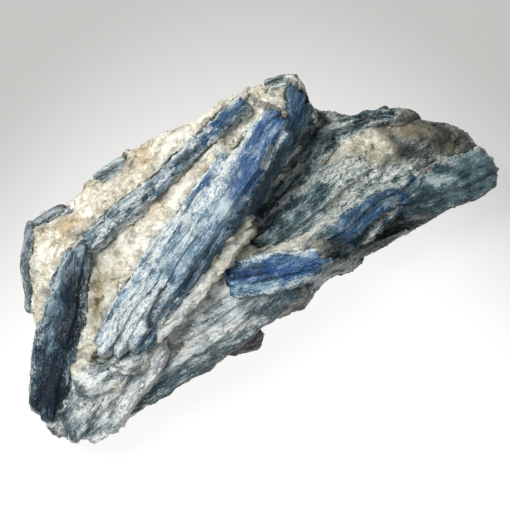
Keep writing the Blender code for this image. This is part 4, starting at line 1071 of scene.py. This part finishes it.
def quartz_skin(grid, kin=None):
    """Broken-grain relief on a grid of quartz, and the values that its material reads.

    Four sizes of facets stand along the normal. Where the quartz is fibrous the facets stretch along
    the blades of the right half instead. Kin is how close a point lies to kyanite.
    """
    points = grid.reshape(-1, 3)
    run = np.array((*FIBRE_RUN, 0.0)) / math.hypot(*FIBRE_RUN)
    side = np.array((-run[1], run[0], 0.0))
    place = np.column_stack((points @ run, points @ side, points[:, 2]))
    area = areas(points, QUARTZ_ZONES, QUARTZ_KINDS)
    drift = points[:, 0].copy()
    for strength, size, seed in DRIFTS:
        drift += strength * lattice_noise(points, size, seed)
    fibre = smooth_step(drift, *FIBROUS_FROM) * FIBROUS_SHARE
    fibre = np.clip(fibre + area["fibrous"] - area["clean"], 0, 1)
    grains, edges = zip(*(facets(points, size, seed) for size, seed in GRAINS))
    long_grains = [facets(place, size, seed)[0] for size, seed in LONG_GRAINS]
    relief = (weighted(GRAIN_HEIGHTS, grains) * (1 - fibre)
              + weighted(FIBRE_HEIGHTS, (grains[0], *long_grains, grains[-1])) * fibre)
    settled = np.clip(points[:, 2:] / SETTLED, 0, 1)
    moved = points + settled * (raised(grid, relief) - points)
    moved[:, 2] = np.maximum(moved[:, 2], 0.0)
    values = {
        "tan": area["tan"], "olive": area["olive"], "brown": area["brown"], "fibrous": fibre,
        "kin": np.zeros(len(points)) if kin is None else kin, "tone": area["pale"] - area["dark"],
        # painted shade in the hollows between grains
        "hollow_shade": painted_hollow_shade(relief, GRAIN_DEPTH, edges[1], GRAIN_GAP),
        "place": place,
    }
    return moved.reshape(grid.shape), values


# Linear colours: cream from shaded to bright, dark crumbs, the fibres' own, stains, and painted shade in pits
SHADED, CREAM, BRIGHT = rgb(0.40, 0.38, 0.31), rgb(0.66, 0.63, 0.52), rgb(0.85, 0.82, 0.73)
DARK_CRUMB = rgb(0.26, 0.25, 0.20)
FIBRE_COLOURS = dict(Dark=(0.03, 0.05, 0.055), Body=(0.17, 0.21, 0.22), Light=(0.66, 0.68, 0.65),
                     Quartz=(0.80, 0.80, 0.76))
WARM_TINT, TAN_TINT, OLIVE_TINT = (0.82, 0.74, 0.60), (0.66, 0.50, 0.31), (0.42, 0.44, 0.36)
BROWN_TINT, PIT_SHADE_TINT = (0.27, 0.25, 0.20), (0.42, 0.38, 0.30)


def quartz_material():
    """Granular quartz: two sizes of grains, cloudy patches, stains, grey-blue fibres near kyanite, painted
    shade in pits.
    """
    material, w, shader = new_material("quartz_matrix")
    place = w.node("TexCoord").outputs["Object"]
    place = w.node("VectorMath", {0: place, "Scale": 1 / MM}, operation="SCALE").outputs[0]
    cloud = w.noise(place, (0.20, 0.20, 0.20), 5.0)
    haze = w.noise(place, (0.34, 0.34, 0.34), 4.0, 0.65)
    tiny = w.noise(place, (2.6, 2.6, 2.6), 3.0, 0.7)
    grain = w.group(FLAKES, dict(Scale=(0.8, 0.8, 0.8)), Place=place)
    crumb = w.group(FLAKES, dict(Scale=(2.2, 2.2, 2.2)), Place=place)
    tone = w.sum((cloud, 0.22), (grain["Pick"], 0.20), (crumb["Pick"], 0.14), (tiny, 0.18), (haze, 0.26))
    colour = w.mix(w.step(tone, 0.24, 0.48), SHADED, CREAM)
    colour = w.mix(w.step(tone, 0.42, 0.70), colour, BRIGHT)
    warm = w.step(w.sum((cloud, 0.5), (haze, 0.5)), 0.56, 0.42)
    colour = w.stain(w.times(warm, 0.45), colour, WARM_TINT)
    # Darker crumbs here and there
    dark_crumbs = w.times(w.step(crumb["Other"], 0.86, 0.93), w.step(cloud, 0.7, 0.3))
    colour = w.mix(w.times(dark_crumbs, 0.4), colour, DARK_CRUMB)
    colour = w.stain(w.times(w.attribute("tan"), 0.85, clamp=True), colour, TAN_TINT)
    colour = w.stain(w.times(w.attribute("olive"), 0.9, clamp=True), colour, OLIVE_TINT)
    # Fibres show where the mesh is fibrous or toned, and close to kyanite
    fibres = streaks_of(w, FIBRE_COLOURS, 0.6, 0.5, Place=w.attribute("place", "Vector"),
                        Tone=w.attribute("tone"))
    near = w.times(w.step(w.plus(w.swing(cloud), 0.9, w.attribute("kin")), 0.45, 1.1), 0.5)
    fibrous = w.step(w.plus(w.swing(cloud), 0.4, w.attribute("fibrous")), 0.20, 0.65)
    fibrous = w.math("MAXIMUM", fibrous, w.times(w.attribute("tone"), 0.8))
    colour = w.mix(w.math("MAXIMUM", fibrous, near), colour, fibres["Colour"])
    colour = w.stain(w.times(w.attribute("brown"), 0.95, clamp=True), colour, BROWN_TINT)
    # Painted shade in the pits between grains
    colour = w.stain(w.times(w.attribute("hollow_shade"), 0.5), colour, PIT_SHADE_TINT)
    height = w.sum((crumb["Tilt"], 0.55), (grain["Tilt"], 1.1))
    bump = w.node("Bump", {"Height": height, "Strength": 0.8, "Distance": 0.4 * MM})
    w.fill(shader, Base_Color=colour, Roughness=w.plus(crumb["Other"], 0.35, 0.3), Normal=bump.outputs[0])
    set_inputs(shader, IOR=1.54)
    return material


vein = lumpy(lath_grid(VEIN, VEIN_CELL, 1.0, 7)[0], *VEIN_NOISES)
quartz_skins = [quartz_skin(*block_grid())]
quartz_skins += [quartz_skin(lump_grid(*lump)) for lump in EDGE_LUMPS + HEALED_LUMPS]
quartz_skins += [quartz_skin(vein)]
in_place(closed_piece("quartz_matrix_stone", quartz_skins), "quartz_matrix", quartz_material())

# ---------------------------------------------------------------------------------------------------
# Floor, light and camera
# A pale sheet, grey at the far side and white in front, one broad lamp over the far left, and a soft
# sky. The camera looks steeply down on the specimen. Lengths are metres.

FLOOR_SIZE = 4.0
FADE = 0.09               # how far beyond the specimen's middle the floor has turned grey
BEND = 9.0                # how much the grey comes forward at the sides
LAMP_WIDTH, LAMP_POWER = 0.34, 4.6
LAMP_PLACE, LAMP_TURN = (-0.33, 0.12, 0.56), (-12, -30, 0)
SKY_POWER = 0.55
LENS, ELEVATION = 100.0, math.radians(75.0)
DISTANCE = 0.32583
AIM = (-0.0015, 0.0015, 0.017)


def floor_material():
    """Pale sheet: mostly its own even light, so that shadows stay faint, greyer towards the far corners."""
    material, w, shader = new_material("floor")
    parts = w.node("SeparateXYZ", {0: w.node("TexCoord").outputs["Object"]}).outputs
    bend = w.times(w.times(parts["X"], parts["X"]), BEND)
    shade = w.step(w.math("ADD", parts["Y"], bend), 0.0, FADE)
    w.fill(shader, Emission_Color=w.mix(shade, rgb(1.0, 1.0, 0.985), rgb(0.47, 0.47, 0.45)))
    set_inputs(shader, Emission_Strength=0.9, Base_Color=rgb(0.10, 0.10, 0.10), Roughness=1.0,
               Specular_IOR_Level=0.0)
    return material


corner = FLOOR_SIZE / 2
sheet = bpy.data.meshes.new("floor")
sheet.from_pydata([(-corner, -corner, 0), (corner, -corner, 0), (corner, corner, 0), (-corner, corner, 0)],
                  [], [(0, 1, 2, 3)])
sheet.materials.append(floor_material())
floor = bpy.data.objects.new("floor", sheet)
bpy.context.scene.collection.objects.link(floor)

world = bpy.data.worlds.new("sky")
world.use_nodes = True
set_inputs(world.node_tree.nodes["Background"], Color=rgb(0.93, 0.97, 1.0), Strength=SKY_POWER)
bpy.context.scene.world = world

lamp_data = bpy.data.lights.new("lamp", "AREA")
lamp_data.shape = "DISK"
lamp_data.size = LAMP_WIDTH
lamp_data.energy = LAMP_POWER
lamp = bpy.data.objects.new("lamp", lamp_data)
lamp.location = LAMP_PLACE
lamp.rotation_euler = [math.radians(turn) for turn in LAMP_TURN]
bpy.context.scene.collection.objects.link(lamp)

camera_data = bpy.data.cameras.new("camera")
camera_data.lens = LENS
camera_data.sensor_width = 36.0
camera = bpy.data.objects.new("camera", camera_data)
back, rise = DISTANCE * math.cos(ELEVATION), DISTANCE * math.sin(ELEVATION)
camera.location = (AIM[0], AIM[1] - back, AIM[2] + rise)
camera.rotation_euler = (math.pi / 2 - ELEVATION, 0.0, 0.0)
bpy.context.scene.collection.objects.link(camera)
bpy.context.scene.camera = camera
bpy.context.scene.view_settings.view_transform = "Standard"
